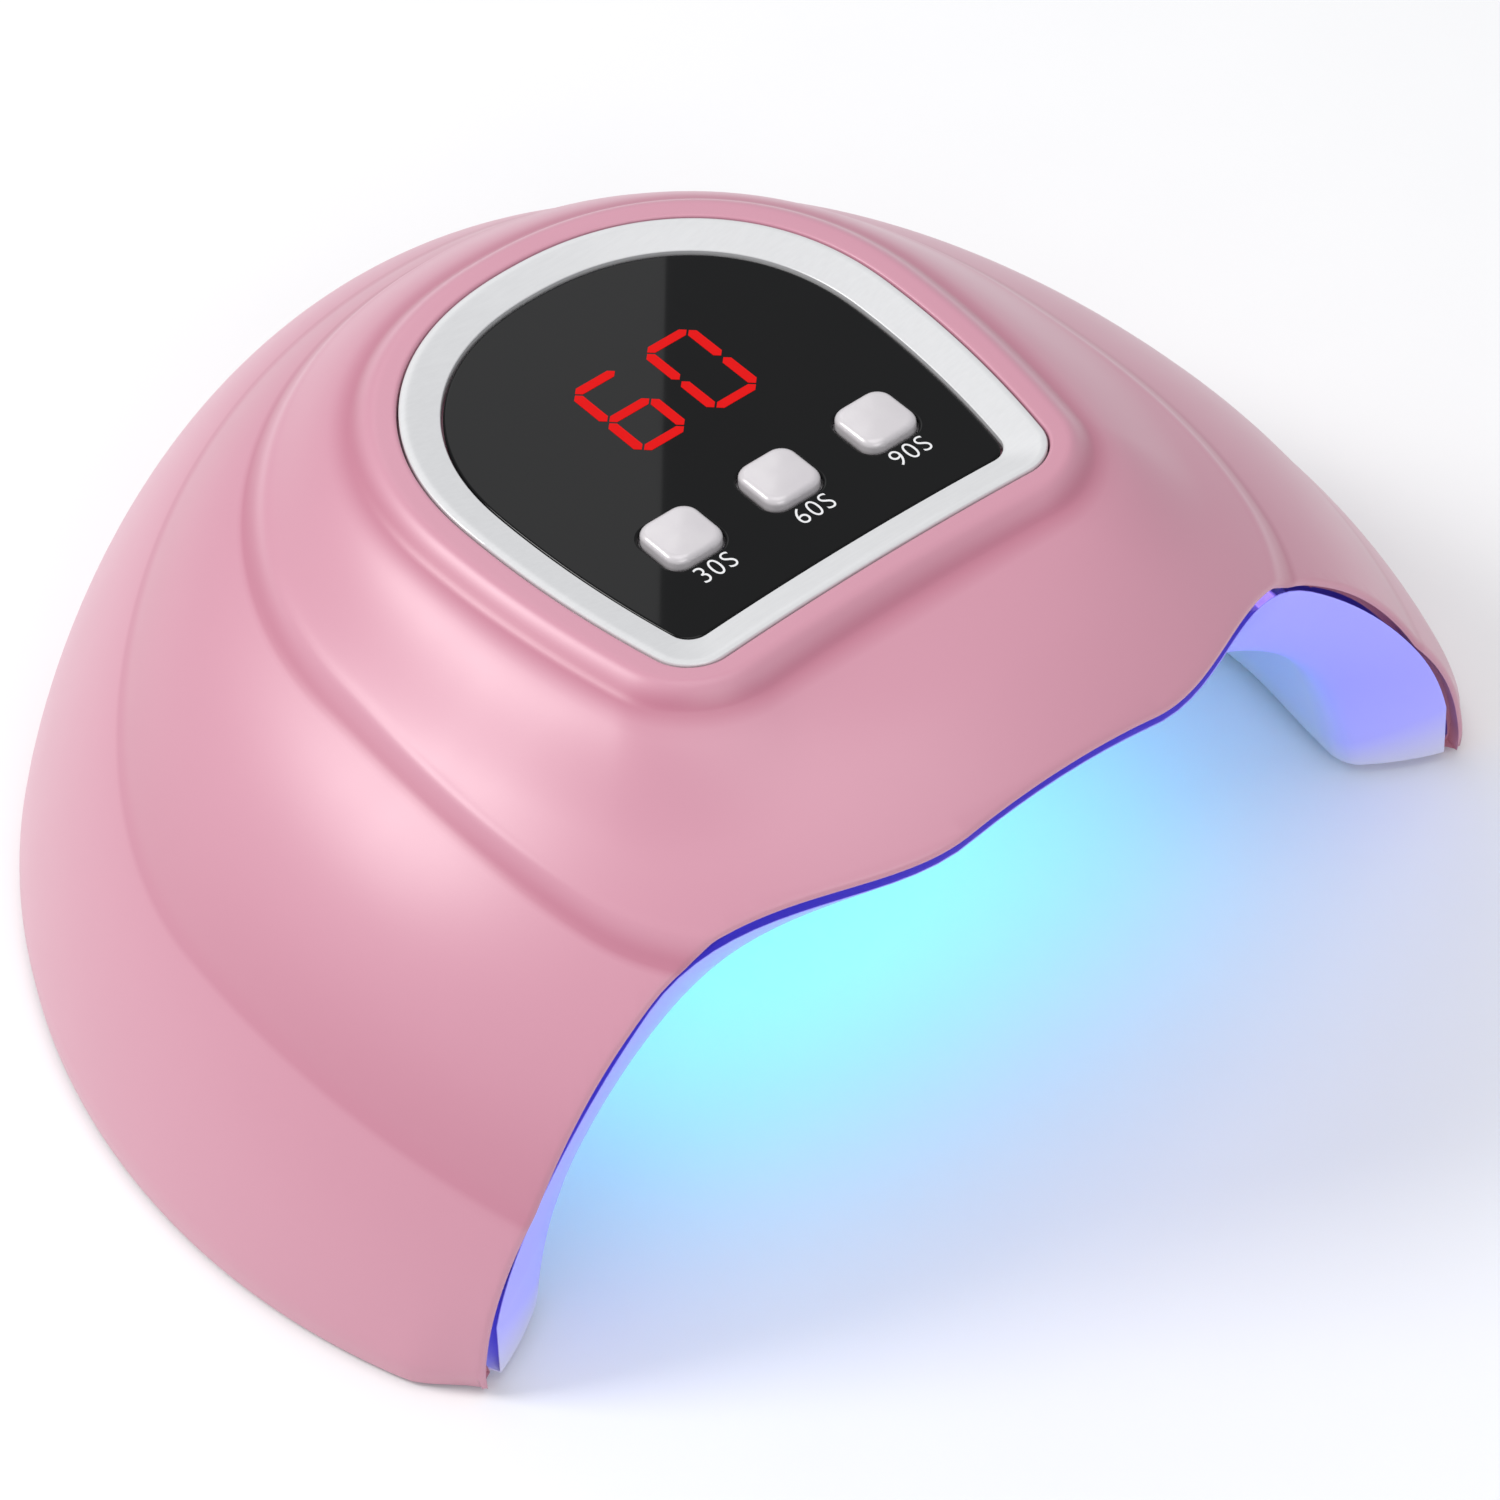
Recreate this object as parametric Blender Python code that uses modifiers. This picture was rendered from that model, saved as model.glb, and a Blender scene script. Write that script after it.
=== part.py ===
"""UV/LED nail lamp, modelled as the separate pieces that it comes apart into.

Frame: +Z up, +X to the right, the hand opening faces -Y. The origin is on the table, under
the middle of the lamp's bounding box. Lengths are in metres.
"""

import math

import bmesh
import bpy
from mathutils import Matrix, Vector

# ---------------------------------------------------------------- driving dimensions
WIDTH = 0.208                 # shell across its lower edge
DEPTH = 0.175                 # brim to back of the shell
DOME_HEIGHT = 0.0773          # lower edge of the shell to the crown of the dome
FOOT_LIFT = 0.0015            # lower edge of the shell above the table
WALL = 0.0022                 # wall of the shell
GAP = 0.0003                  # between pieces that touch
FIT = 0.0003                  # extra clearance round what passes through a hole

# dome: an ellipse in plan, fuller towards the crown at the back than at the sides
LEG_TO_WIDEST = 0.0482        # front plane of the legs to the widest section
DOME_FRONT = 0.106            # virtual front half-length, which the hand opening cuts off
SIDE_POWER = 2.6
FRONT_POWER = 3.4
BACK_POWER = 4.0
CROWN_POWER = 1.32

# hand opening: legs end in one plane, the brim bulges in front of it
BRIM_BULGE = 0.014
BRIM_FLAT = 0.016             # half-width over which the bulge is full
BRIM_END = 0.058              # half-width at which the bulge has run out

TUCK = 0.0034                 # the legs' front corners turn in by this much at the floor
TUCK_HEIGHT = 0.026           # and by nothing this high up
TUCK_DEPTH = 0.0085           # over this depth behind the front edge

# control panel outline: rounded back, tapering sides, slightly hollow front edge
PANEL_FROM_LEGS = 0.063       # front plane of the legs to the panel's widest section
PANEL_HALF_WIDTH = 0.0368
PANEL_BACK = 0.0376
PANEL_FRONT = 0.0412
PANEL_BACK_POWER = 2.2
PANEL_TAPER = 0.0052          # each side comes in by this much at the front corners
PANEL_HOLLOW = 0.0014
PANEL_CORNER = 0.0055
PANEL_CORNER_LEAST = 0.0028   # of the outlines that lie inside the panel's own
PAD_ABOVE_CROWN = 0.0005      # top of the pad and of the trim ring
PAD_RIM = 0.0032              # flat pink rim round the trim ring
PAD_SHOULDER = 0.0055
PAD_VALLEY = 0.0076
VALLEY_DROP = 0.0030
VALLEY_BLEND = 0.18           # share of the way to the lower edge where the dome takes over

# stepped ridges: share of the way from the pad's valley to the lower edge
RIDGE_IN_BACK, RIDGE_IN_SIDE, RIDGE_IN_FRONT = 0.25, 0.30, 0.56
RIDGE_OUT_BACK, RIDGE_OUT_SIDE, RIDGE_OUT_FRONT = 0.36, 0.74, 0.95
RIDGE_IN_STEP = 0.0006        # how far the skin falls at the inner ridge
RIDGE_OUT_STEP = 0.0010
RIDGE_IN_WIDE = 0.040         # share of the way over which it falls
RIDGE_OUT_WIDE = 0.20
RIDGE_AFTER = 0.22            # and over which it comes back

# trim ring and window
TRIM_BAND = 0.0054            # width of the silver band
SEAT_DEPTH = 0.0032           # panel seat below the pad
TRIM_FUNNEL = 0.0012          # the band slopes down to the window by this much
WINDOW_RECESS = 0.0016        # window face below the pad
LEDGE_UNDER_WINDOW = 0.0018   # the seat reaches this far in under the window

# buttons, in a row along X
FACE_RIGHT = 0.0011           # the row and the display stand this far right of the middle
BUTTON_PITCH = 0.0168
BUTTON_FROM_LEGS = 0.0442     # front plane of the legs to the row
BUTTON_SIZE = 0.0092
BUTTON_CORNER = 0.0024
BUTTON_ABOVE_PAD = 0.0001
BUTTON_SKIRT = 0.0009         # the retaining skirt is wider than the hole by this much
BUTTON_SKIRT_THICK = 0.0010
BUTTON_TRAVEL = 0.0006
STEM_RADIUS = 0.0016
BUTTONS = ("30s", "60s", "90s")

# tactile switches
SWITCH_SIZE = 0.0060
SWITCH_HEIGHT = 0.0036
PLUNGER_RADIUS = 0.0017
PLUNGER_DEPTH = 0.0018        # of the plunger that sits inside the switch
PLUNGER_HEIGHT = 0.0030

# display block
DISPLAY_WIDTH = 0.0250
DISPLAY_LENGTH = 0.0190
DISPLAY_FROM_LEGS = 0.0683
DISPLAY_UNDER_WINDOW = 0.0005

# control board
BOARD_BELOW_LEDGE = 0.0080    # lower face of the ledge to the top of the board
BOARD_THICK = 0.0016
BOARD_INSET = 0.0008
POST_RADIUS = 0.0025
POST_INSET = 0.0038
POST_ANGLES = (141.0, 180.0 + 39.0, 0.0)     # degrees round the panel, 0 at the back
BOARD_SCREW_RADIUS = 0.0009
BOARD_SCREW_LENGTH = 0.0060
BOARD_SCREW_HEAD = 0.0019

# liner: the tunnel for the hand
LEG_WIDTH = 0.0190            # front face of a leg, from the shell to the tunnel
FLARE_DEPTH = 0.0080          # the flared lip ends this far behind the leg plane
BAY_DEPTH = 0.0318            # crown of the dome down to the roof of the tunnel
SPLAY = 0.0030                # the tunnel widens by this much on each side
SPLAY_LENGTH = 0.027
ARCH_POWER = 3.0
ARCH_LEAN = 0.20              # the walls of the tunnel lean in by this slope
BACK_SPACE = 0.0257           # back of the shell to the back wall of the tunnel
LINER_WALL = 0.0020
FLANGE_RECESS = 0.0005        # flange above the lower edge of the shell
LIP_RECESS = 0.0006           # the lip stops this far behind the shell's front edge
FLANGE_CLEAR = WIDTH * 0.0048   # between the flange's edge and the shell

# light-emitting beads and their boards
LED_RADIUS = 0.0033
LED_DOME = 0.0022
LED_STAND = 0.0004            # straight side of a bead shown below the liner
LED_PITCH = DEPTH * 4 / 35
LED_FIRST = DEPTH / 7        # leg plane to the first bead
LED_BOARD_WIDTH = 0.0110
LED_BOARD_THICK = 0.0016
LED_BOARD_CLEAR = 0.0012      # back of the liner to the face of a board
MID_ARCH = 52.0               # degrees up the arch, for the beads of the roof's sides
LOW_ARCH = 20.0               # and for those of the walls
REAR_ARCH = 32.0
SENSOR_WIDTH = 0.0060
SENSOR_LENGTH = 0.0040

# fasteners, feet and inlet
BOSS_RADIUS = 0.0034
BOSS_INSET = 0.0115           # lower edge of the shell to a case screw
BOSS_FROM_LEGS = 0.0220
BOSS_REAR_ANGLE = 40.0
SCREW_RADIUS = 0.0014
SCREW_LENGTH = 0.0095
SCREW_HEAD_RADIUS = 0.0028
SCREW_HEAD = 0.0012
PILOT_DEPTH = 0.0105
FOOT_RADIUS = 0.0055
FOOT_FROM_LEGS = 0.0430
FOOT_REAR_ANGLE = 22.0
INLET_RADIUS = 0.0040
INLET_BORE = 0.0028
INLET_LENGTH = 0.0130
INLET_FLANGE = 0.0058
INLET_FLANGE_THICK = 0.0010
INLET_HEIGHT = 0.0140
INLET_BORE_DEPTH = 0.0095
INLET_CLEAR = 0.0006          # between the inlet's flange and the shell
PIN_RADIUS = 0.0010

# mesh fineness
ROUND = 72                    # steps round the panel and the shell
SKIN_ROWS = 12                # rings from the pad's valley to the lower edge
ARCH_STEPS = 10               # steps up each side of the tunnel
REAR_STEPS = 16               # steps round the tunnel's back wall

# ---------------------------------------------------------------- derived positions
LEG_Y = -DEPTH / 2 + BRIM_BULGE
DOME_Y = LEG_Y + LEG_TO_WIDEST
DOME_BACK = DEPTH / 2 - DOME_Y
PANEL_Y = LEG_Y + PANEL_FROM_LEGS
PAD_Z = FOOT_LIFT + DOME_HEIGHT + PAD_ABOVE_CROWN
LEDGE_Z = PAD_Z - SEAT_DEPTH
LEDGE_REACH = TRIM_BAND + LEDGE_UNDER_WINDOW
WINDOW_TOP = PAD_Z - WINDOW_RECESS
WINDOW_BOTTOM = LEDGE_Z + GAP
BUTTON_TOP = PAD_Z + BUTTON_ABOVE_PAD
BUTTON_Y = LEG_Y + BUTTON_FROM_LEGS
SKIRT_TOP = WINDOW_BOTTOM - GAP
BOARD_TOP = LEDGE_Z - WALL - BOARD_BELOW_LEDGE
BOARD_BOTTOM = BOARD_TOP - BOARD_THICK
FLANGE_Z = FOOT_LIFT + FLANGE_RECESS
ROOF_HEIGHT = FOOT_LIFT + DOME_HEIGHT - BAY_DEPTH - FLANGE_Z
LIP_DEPTH = WALL + GAP + LINER_WALL * 0.9
INLET_Z = FOOT_LIFT + INLET_HEIGHT

# ---------------------------------------------------------------- scene and materials


def clear_scene():
    """Start from an empty scene."""
    for old in list(bpy.data.objects):
        bpy.data.objects.remove(old, do_unlink=True)


def new_collection(name):
    collection = bpy.data.collections.new(name)
    bpy.context.scene.collection.children.link(collection)
    return collection


def material(name, colour, roughness, metallic=0.0):
    """A Principled material in one colour."""
    made = bpy.data.materials.new(name)
    made.use_nodes = True
    shader = made.node_tree.nodes["Principled BSDF"]
    shader.inputs["Base Color"].default_value = (*colour, 1.0)
    shader.inputs["Roughness"].default_value = roughness
    shader.inputs["Metallic"].default_value = metallic
    return made


clear_scene()
LAMP = new_collection("uv_led_nail_lamp")
CUTTERS = new_collection("cutters")
PINK = material("pink_abs", (0.70, 0.33, 0.42), 0.35)
WHITE = material("white_abs", (0.85, 0.86, 0.90), 0.30)
SILVER = material("silver_trim", (0.78, 0.78, 0.79), 0.30, 0.6)
BLACK_GLOSS = material("black_window", (0.012, 0.012, 0.014), 0.08)
CAP_WHITE = material("button_white", (0.86, 0.84, 0.85), 0.35)
DARK = material("black_plastic", (0.03, 0.03, 0.035), 0.5)
GREEN = material("circuit_board", (0.03, 0.20, 0.09), 0.45)
DISPLAY_RED = material("display_block", (0.35, 0.02, 0.02), 0.4)
ALUMINIUM = material("aluminium_board", (0.80, 0.81, 0.83), 0.35, 0.9)
LENS = material("bead_lens", (0.80, 0.78, 0.95), 0.12)
STEEL = material("steel", (0.62, 0.62, 0.63), 0.32, 1.0)
RUBBER = material("rubber", (0.05, 0.05, 0.05), 0.85)

# ---------------------------------------------------------------- shape rules


def smooth_step(low, high, value):
    """0 below low, 1 above high, and a smooth rise between them."""
    share = min(1.0, max(0.0, (value - low) / (high - low)))
    return share * share * (3.0 - 2.0 * share)


def brim_y(x):
    """Where the front edge lies, in plan: the leg plane with the brim's bulge."""
    return LEG_Y - BRIM_BULGE * (1.0 - smooth_step(BRIM_FLAT, BRIM_END, abs(x)))


def tucked(point):
    """Turn a point in towards the middle where it is on a leg's front corner."""
    behind = 1.0 - smooth_step(0.0, TUCK_DEPTH, point.y - brim_y(point.x))
    up = max(0.0, 1.0 - (point.z - FOOT_LIFT) / TUCK_HEIGHT)
    shift = TUCK * behind * min(1.0, up * up)
    return Vector((point.x - math.copysign(shift, point.x), point.y, point.z))


def plan_fraction(x, y):
    """0 at the dome's centre and 1 on the shell's lower edge."""
    dy = y - DOME_Y
    half = DOME_BACK if dy > 0.0 else DOME_FRONT
    return math.hypot(x / (WIDTH / 2), dy / half)


def dome_height(x, y):
    """Height of the plain dome above the shell's lower edge."""
    dy = y - DOME_Y
    across = dy * dy / (x * x + dy * dy + 1e-12)
    end_power = BACK_POWER if dy > 0.0 else FRONT_POWER
    power = SIDE_POWER + (end_power - SIDE_POWER) * across
    filled = max(0.0, 1.0 - plan_fraction(x, y) ** power)
    return DOME_HEIGHT * filled ** (1.0 / CROWN_POWER)


def dome_normal(x, y):
    """Unit normal of the plain dome, taken just inside its lower edge."""
    shrink = min(1.0, 0.995 / max(plan_fraction(x, y), 1e-9))
    x, y = x * shrink, DOME_Y + (y - DOME_Y) * shrink
    step = 0.0002
    slope_x = (dome_height(x + step, y) - dome_height(x - step, y)) / (2 * step)
    slope_y = (dome_height(x, y + step) - dome_height(x, y - step)) / (2 * step)
    return Vector((-slope_x, -slope_y, 1.0)).normalized()


def under_dome(x, y, depth):
    """The point at this depth, square to the dome, under its surface at x, y."""
    point = Vector((x, y, FOOT_LIFT + dome_height(x, y)))
    return point - dome_normal(x, y) * depth


def ceiling(x, y, depth):
    """Height of the surface that lies this deep under the dome, straight above x, y."""
    return FOOT_LIFT + dome_height(x, y) - depth / dome_normal(x, y).z


def inside_panel(x, y, grow):
    """Whether a point is inside the panel's outline, grown by a distance."""
    dy = y - PANEL_Y
    half = PANEL_HALF_WIDTH + grow
    if dy > 0.0:
        sides = (abs(x) / half) ** PANEL_BACK_POWER
        return sides + (dy / (PANEL_BACK + grow)) ** PANEL_BACK_POWER < 1.0
    side = half - PANEL_TAPER * (dy / PANEL_FRONT) ** 2
    hollow = PANEL_HOLLOW * (1.0 - (x / PANEL_HALF_WIDTH) ** 2)
    front = PANEL_FRONT + grow - hollow
    radius = max(PANEL_CORNER + grow, PANEL_CORNER_LEAST)
    past_side = max(abs(x) - side + radius, 0.0)
    past_front = max(-dy - front + radius, 0.0)
    return math.hypot(past_side, past_front) < radius


def inside_base(x, y, _grow):
    """Whether a point is inside the shell's lower edge."""
    return plan_fraction(x, y) < 1.0


def outline_point(inside, angle, grow=0.0):
    """Where the ray at this angle from the panel's centre leaves an outline; 0 is the back."""
    low, high = 0.0, WIDTH + DEPTH
    for _ in range(40):
        middle = (low + high) / 2
        x = middle * math.sin(angle)
        y = PANEL_Y + middle * math.cos(angle)
        if inside(x, y, grow):
            low = middle
        else:
            high = middle
    return Vector((low * math.sin(angle), PANEL_Y + low * math.cos(angle)))


def panel_loop(grow, steps=ROUND):
    """The panel's outline as points, anticlockwise seen from above."""
    turns = [-2 * math.pi * k / steps for k in range(steps)]
    return [outline_point(inside_panel, angle, grow) for angle in turns]


def by_direction(angle, back, side, front):
    """Blend three values round the lamp: 0 degrees is the back."""
    facing = math.cos(angle)
    end = back if facing > 0.0 else front
    return side + (end - side) * facing * facing


# ---------------------------------------------------------------- mesh helpers


def add_object(name, mesh, finish, collection=None):
    """Link a mesh as a named object with one material."""
    made = bpy.data.objects.new(name, mesh)
    (collection or LAMP).objects.link(made)
    if finish:
        mesh.materials.append(finish)
    return made


def mesh_from(bm, name):
    mesh = bpy.data.meshes.new(name)
    bm.to_mesh(mesh)
    bm.free()
    return mesh


def round_shading(item, degrees=35.0):
    item.data.shade_smooth()
    item.data.set_sharp_from_angle(angle=math.radians(degrees))


def loft(rows, close_rows=False, close_ends=False):
    """Quads between rows of points; repeated points are merged."""
    bm = bmesh.new()
    rings = [[bm.verts.new(point) for point in row] for row in rows]
    count = len(rings[0])
    if close_ends:
        rings.append(rings[0])
    for ring, following in zip(rings, rings[1:]):
        for k in range(count if close_rows else count - 1):
            after = (k + 1) % count
            bm.faces.new((ring[k], ring[after], following[after], following[k]))
    bmesh.ops.remove_doubles(bm, verts=bm.verts, dist=1e-6)
    bmesh.ops.dissolve_degenerate(bm, edges=bm.edges, dist=1e-6)
    bmesh.ops.recalc_face_normals(bm, faces=bm.faces)
    return bm


def solidify(item, thickness):
    """Give an open surface its wall, on the side away from its normals."""
    wall = item.modifiers.new("wall", "SOLIDIFY")
    wall.thickness = thickness
    wall.offset = -1.0
    wall.use_even_offset = True
    wall.use_quality_normals = True


def boolean(item, cutter, operation):
    step = item.modifiers.new(operation.lower(), "BOOLEAN")
    step.operation = operation
    step.solver = "EXACT"
    step.object = cutter


def as_cutter(item):
    """Keep a helper solid out of the model."""
    item.hide_render = True
    item.display_type = "WIRE"
    return item


def solid_of(name, finish, parts, collection=None):
    """One object from several bmesh solids that stay apart."""
    bm = bmesh.new()
    for part in parts:
        piece = mesh_from(part, "piece")
        bm.from_mesh(piece)
        bpy.data.meshes.remove(piece)
    return add_object(name, mesh_from(bm, name), finish, collection)


def cylinder(radius, length, place, sides=16):
    """A cylinder from place's origin along its +Z."""
    bm = bmesh.new()
    bmesh.ops.create_cone(bm, cap_ends=True, segments=sides, radius1=radius,
                          radius2=radius, depth=length)
    bmesh.ops.transform(bm, matrix=place @ Matrix.Translation((0, 0, length / 2)),
                        verts=bm.verts)
    return bm


def box(size, place):
    """A box centred on place's origin."""
    bm = bmesh.new()
    bmesh.ops.create_cube(bm, size=1.0)
    bmesh.ops.transform(bm, matrix=place @ Matrix.Diagonal((*size, 1.0)), verts=bm.verts)
    return bm


def at(x, y, z):
    return Matrix.Translation((x, y, z))


def block(name, size, centre, finish, edge=0.0003):
    """A box with its edges broken, its origin at its centre."""
    made = add_object(name, mesh_from(box(size, Matrix()), name), finish)
    made.location = centre
    if edge:
        bevel = made.modifiers.new("edges", "BEVEL")
        bevel.width = edge
        bevel.segments = 1
    return made


def turned(name, profile, place, finish, steps=16):
    """A turned solid: the profile runs down the outer side, top to bottom, round +Z."""
    bm = bmesh.new()
    points = [bm.verts.new((radius, 0.0, height)) for radius, height in profile]
    for one, two in zip(points, points[1:]):
        bm.edges.new((one, two))
    made = add_object(name, mesh_from(bm, name), finish)
    made.matrix_world = place
    screw = made.modifiers.new("turn", "SCREW")
    screw.steps = steps
    screw.render_steps = steps
    screw.use_merge_vertices = True
    screw.merge_threshold = 0.00001
    screw.use_smooth_shade = True
    return made


def flat_plate(name, loops, low, high, finish):
    """A plate from flat outlines; the loops after the first are holes."""
    curve = bpy.data.curves.new(name, "CURVE")
    curve.dimensions = "2D"
    curve.fill_mode = "BOTH"
    curve.extrude = (high - low) / 2
    for loop in loops:
        spline = curve.splines.new("POLY")
        spline.points.add(len(loop) - 1)
        for slot, point in zip(spline.points, loop):
            slot.co = (point[0], point[1], 0.0, 1.0)
        spline.use_cyclic_u = True
    outline = bpy.data.objects.new(name + "_outline", curve)
    LAMP.objects.link(outline)
    outline.location = (0.0, 0.0, (low + high) / 2)
    bpy.context.view_layer.update()
    mesh = bpy.data.meshes.new_from_object(
        outline.evaluated_get(bpy.context.evaluated_depsgraph_get()))
    bm = bmesh.new()
    bm.from_mesh(mesh)
    bmesh.ops.remove_doubles(bm, verts=bm.verts, dist=1e-6)
    bm.to_mesh(mesh)
    bm.free()
    mesh.materials.clear()
    made = add_object(name, mesh, finish)
    made.matrix_world = outline.matrix_world
    bpy.data.objects.remove(outline)
    return made


def rounded_square(size, corner, centre=(0.0, 0.0), corner_steps=3):
    """Outline of a square with rounded corners, anticlockwise."""
    loop = []
    reach = size / 2 - corner
    for quarter in range(4):
        for k in range(corner_steps + 1):
            turn = math.pi / 2 * (quarter + k / corner_steps)
            cx = reach * (1 if quarter in (0, 3) else -1)
            cy = reach * (1 if quarter in (0, 1) else -1)
            loop.append((centre[0] + cx + corner * math.cos(turn),
                         centre[1] + cy + corner * math.sin(turn)))
    return loop


def stacked_squares(name, layers, finish):
    """A closed solid through rounded squares: layers of (size, corner, height)."""
    rows = []
    for size, corner, height in layers:
        rows.append([(x, y, height) for x, y in rounded_square(size, corner)])
    bm = loft(rows, close_rows=True)
    bmesh.ops.holes_fill(bm, edges=[edge for edge in bm.edges if edge.is_boundary])
    bmesh.ops.recalc_face_normals(bm, faces=bm.faces)
    return add_object(name, mesh_from(bm, name), finish)


# ---------------------------------------------------------------- top shell
def crease(share, centre, step, before, after, power):
    """A step in the skin: it falls to a crease over one stretch and comes back over the next."""
    if share < centre:
        return -step * max(0.0, 1.0 - (centre - share) / before) ** power
    return -step * max(0.0, 1.0 - (share - centre) / after) ** 2


def shell_point(angle, share):
    """A point of the shell's skin; share runs from the pad's valley to the lower edge."""
    valley = outline_point(inside_panel, angle, PAD_VALLEY)
    edge = outline_point(inside_base, angle)
    x, y = valley.lerp(edge, share)
    lift = PAD_Z - VALLEY_DROP - FOOT_LIFT - dome_height(*valley)
    lift *= 1.0 - smooth_step(0.0, VALLEY_BLEND, share)
    inner = by_direction(angle, RIDGE_IN_BACK, RIDGE_IN_SIDE, RIDGE_IN_FRONT)
    outer = by_direction(angle, RIDGE_OUT_BACK, RIDGE_OUT_SIDE, RIDGE_OUT_FRONT)
    proud = crease(share, inner, RIDGE_IN_STEP, RIDGE_IN_WIDE, RIDGE_AFTER, 1.0)
    proud += crease(share, outer, RIDGE_OUT_STEP, RIDGE_OUT_WIDE, RIDGE_AFTER, 2.0)
    if share >= 1.0:
        proud = 0.0
    point = Vector((x, y, FOOT_LIFT + dome_height(x, y) + lift))
    return point + dome_normal(x, y) * proud


def shell_rows():
    """Rings of the shell, from the inner edge of the panel's seat to the lower edge."""
    angles = [-2 * math.pi * k / ROUND for k in range(ROUND)]
    seat = (
        (-LEDGE_REACH, LEDGE_Z),
        (GAP, LEDGE_Z),
        (GAP, PAD_Z),
        (PAD_RIM, PAD_Z - 0.0001),
        (PAD_SHOULDER, PAD_Z - VALLEY_DROP * 0.55),
    )
    rows = []
    for grow, height in seat:
        loop = [outline_point(inside_panel, angle, grow) for angle in angles]
        rows.append([(x, y, height) for x, y in loop])
    for place in range(SKIN_ROWS):
        row = []
        for angle in angles:
            inner = by_direction(angle, RIDGE_IN_BACK, RIDGE_IN_SIDE, RIDGE_IN_FRONT)
            outer = by_direction(angle, RIDGE_OUT_BACK, RIDGE_OUT_SIDE, RIDGE_OUT_FRONT)
            rest = 1.0 - outer
            shares = (0.0, inner * 0.35, inner * 0.7, inner - RIDGE_IN_WIDE, inner,
                      inner + (outer - inner) * 0.3, inner + (outer - inner) * 0.65, outer,
                      outer + rest * 0.35, outer + rest * 0.7, outer + rest * 0.92, 1.0)
            row.append(shell_point(angle, shares[place]))
        rows.append(row)
    return rows


def boss_places():
    """Axes of the four case screws, in plan."""
    front_y = LEG_Y + BOSS_FROM_LEGS
    dy = (front_y - DOME_Y) / DOME_FRONT
    front_x = WIDTH / 2 * math.sqrt(1.0 - dy * dy) - BOSS_INSET
    turn = math.radians(BOSS_REAR_ANGLE)
    rear_x = (WIDTH / 2 - BOSS_INSET) * math.sin(turn)
    rear_y = DOME_Y + (DOME_BACK - BOSS_INSET) * math.cos(turn)
    return [(-front_x, front_y), (front_x, front_y), (-rear_x, rear_y), (rear_x, rear_y)]


def post_places():
    """Axes of the three board screws, under the panel's seat."""
    return [outline_point(inside_panel, math.radians(angle), -POST_INSET)
            for angle in POST_ANGLES]


def boss(x, y):
    """A screw boss from above the liner's flange up into the shell's wall."""
    low = FLANGE_Z + LINER_WALL + GAP
    bm = cylinder(BOSS_RADIUS, 0.01, at(x, y, low), sides=12)
    for vert in bm.verts:
        if vert.co.z > low + 0.005:
            vert.co.z = ceiling(vert.co.x, vert.co.y, WALL * 0.55)
    return bm


def make_shell():
    """Pink cover: nested rings, cut along the brim, with its wall, bosses and holes."""
    bm = loft(shell_rows(), close_rows=True)
    for vert in bm.verts:
        vert.co.y -= brim_y(vert.co.x)
    bmesh.ops.bisect_plane(bm, geom=bm.verts[:] + bm.edges[:] + bm.faces[:],
                           dist=1e-6, plane_co=(0, 0, 0), plane_no=(0, 1, 0),
                           clear_inner=True)
    for vert in bm.verts:
        vert.co.y += brim_y(vert.co.x)
        if abs(vert.co.x) > BRIM_END:
            vert.co = tucked(vert.co)
    bmesh.ops.remove_doubles(bm, verts=bm.verts, dist=0.00005)
    bmesh.ops.recalc_face_normals(bm, faces=bm.faces)
    if max(bm.faces, key=lambda face: face.calc_center_median().z).normal.z < 0.0:
        bmesh.ops.reverse_faces(bm, faces=bm.faces)
    shell = add_object("top_shell", mesh_from(bm, "top_shell"), PINK)
    solidify(shell, WALL)
    bosses = [boss(x, y) for x, y in boss_places()]
    posts = [cylinder(POST_RADIUS, BOARD_BELOW_LEDGE - GAP + WALL / 2,
                      at(x, y, BOARD_TOP + GAP), sides=12) for x, y in post_places()]
    added = solid_of("shell_bosses", None, bosses + posts, CUTTERS)
    boolean(shell, as_cutter(added), "UNION")
    pilots = [cylinder(SCREW_RADIUS + FIT, PILOT_DEPTH, at(x, y, FLANGE_Z), sides=10)
              for x, y in boss_places()]
    pilots += [cylinder(BOARD_SCREW_RADIUS + FIT, BOARD_SCREW_LENGTH, at(x, y, BOARD_BOTTOM),
                        sides=10) for x, y in post_places()]
    facing_back = Matrix.Rotation(-math.pi / 2, 4, "X")
    inlet_hole = cylinder(INLET_RADIUS + FIT, 0.03, at(0, DEPTH / 2 - 0.02, INLET_Z) @ facing_back)
    removed = solid_of("shell_holes", None, pilots + [inlet_hole], CUTTERS)
    boolean(shell, as_cutter(removed), "DIFFERENCE")
    round_shading(shell)
    return shell


# ---------------------------------------------------------------- liner


def tunnel_half_width(y):
    leg_edge = WIDTH / 2 * math.sqrt(1.0 - (LEG_TO_WIDEST / DOME_FRONT) ** 2)
    start = LEG_Y + FLARE_DEPTH
    return leg_edge - LEG_WIDTH + SPLAY * smooth_step(start, start + SPLAY_LENGTH, y)


TUNNEL_WIDE = tunnel_half_width(DEPTH)
REAR_Y = DEPTH / 2 - BACK_SPACE - TUNNEL_WIDE


def arch(degrees, half_width):
    """Distance from the middle and height of the tunnel's surface, this far up the arch."""
    turn = math.radians(degrees)
    out = half_width * max(0.0, math.cos(turn)) ** (2.0 / ARCH_POWER)
    up = ROOF_HEIGHT * max(0.0, math.sin(turn)) ** (2.0 / ARCH_POWER)
    return out - ARCH_LEAN * up * math.cos(turn), FLANGE_Z + up


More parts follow.
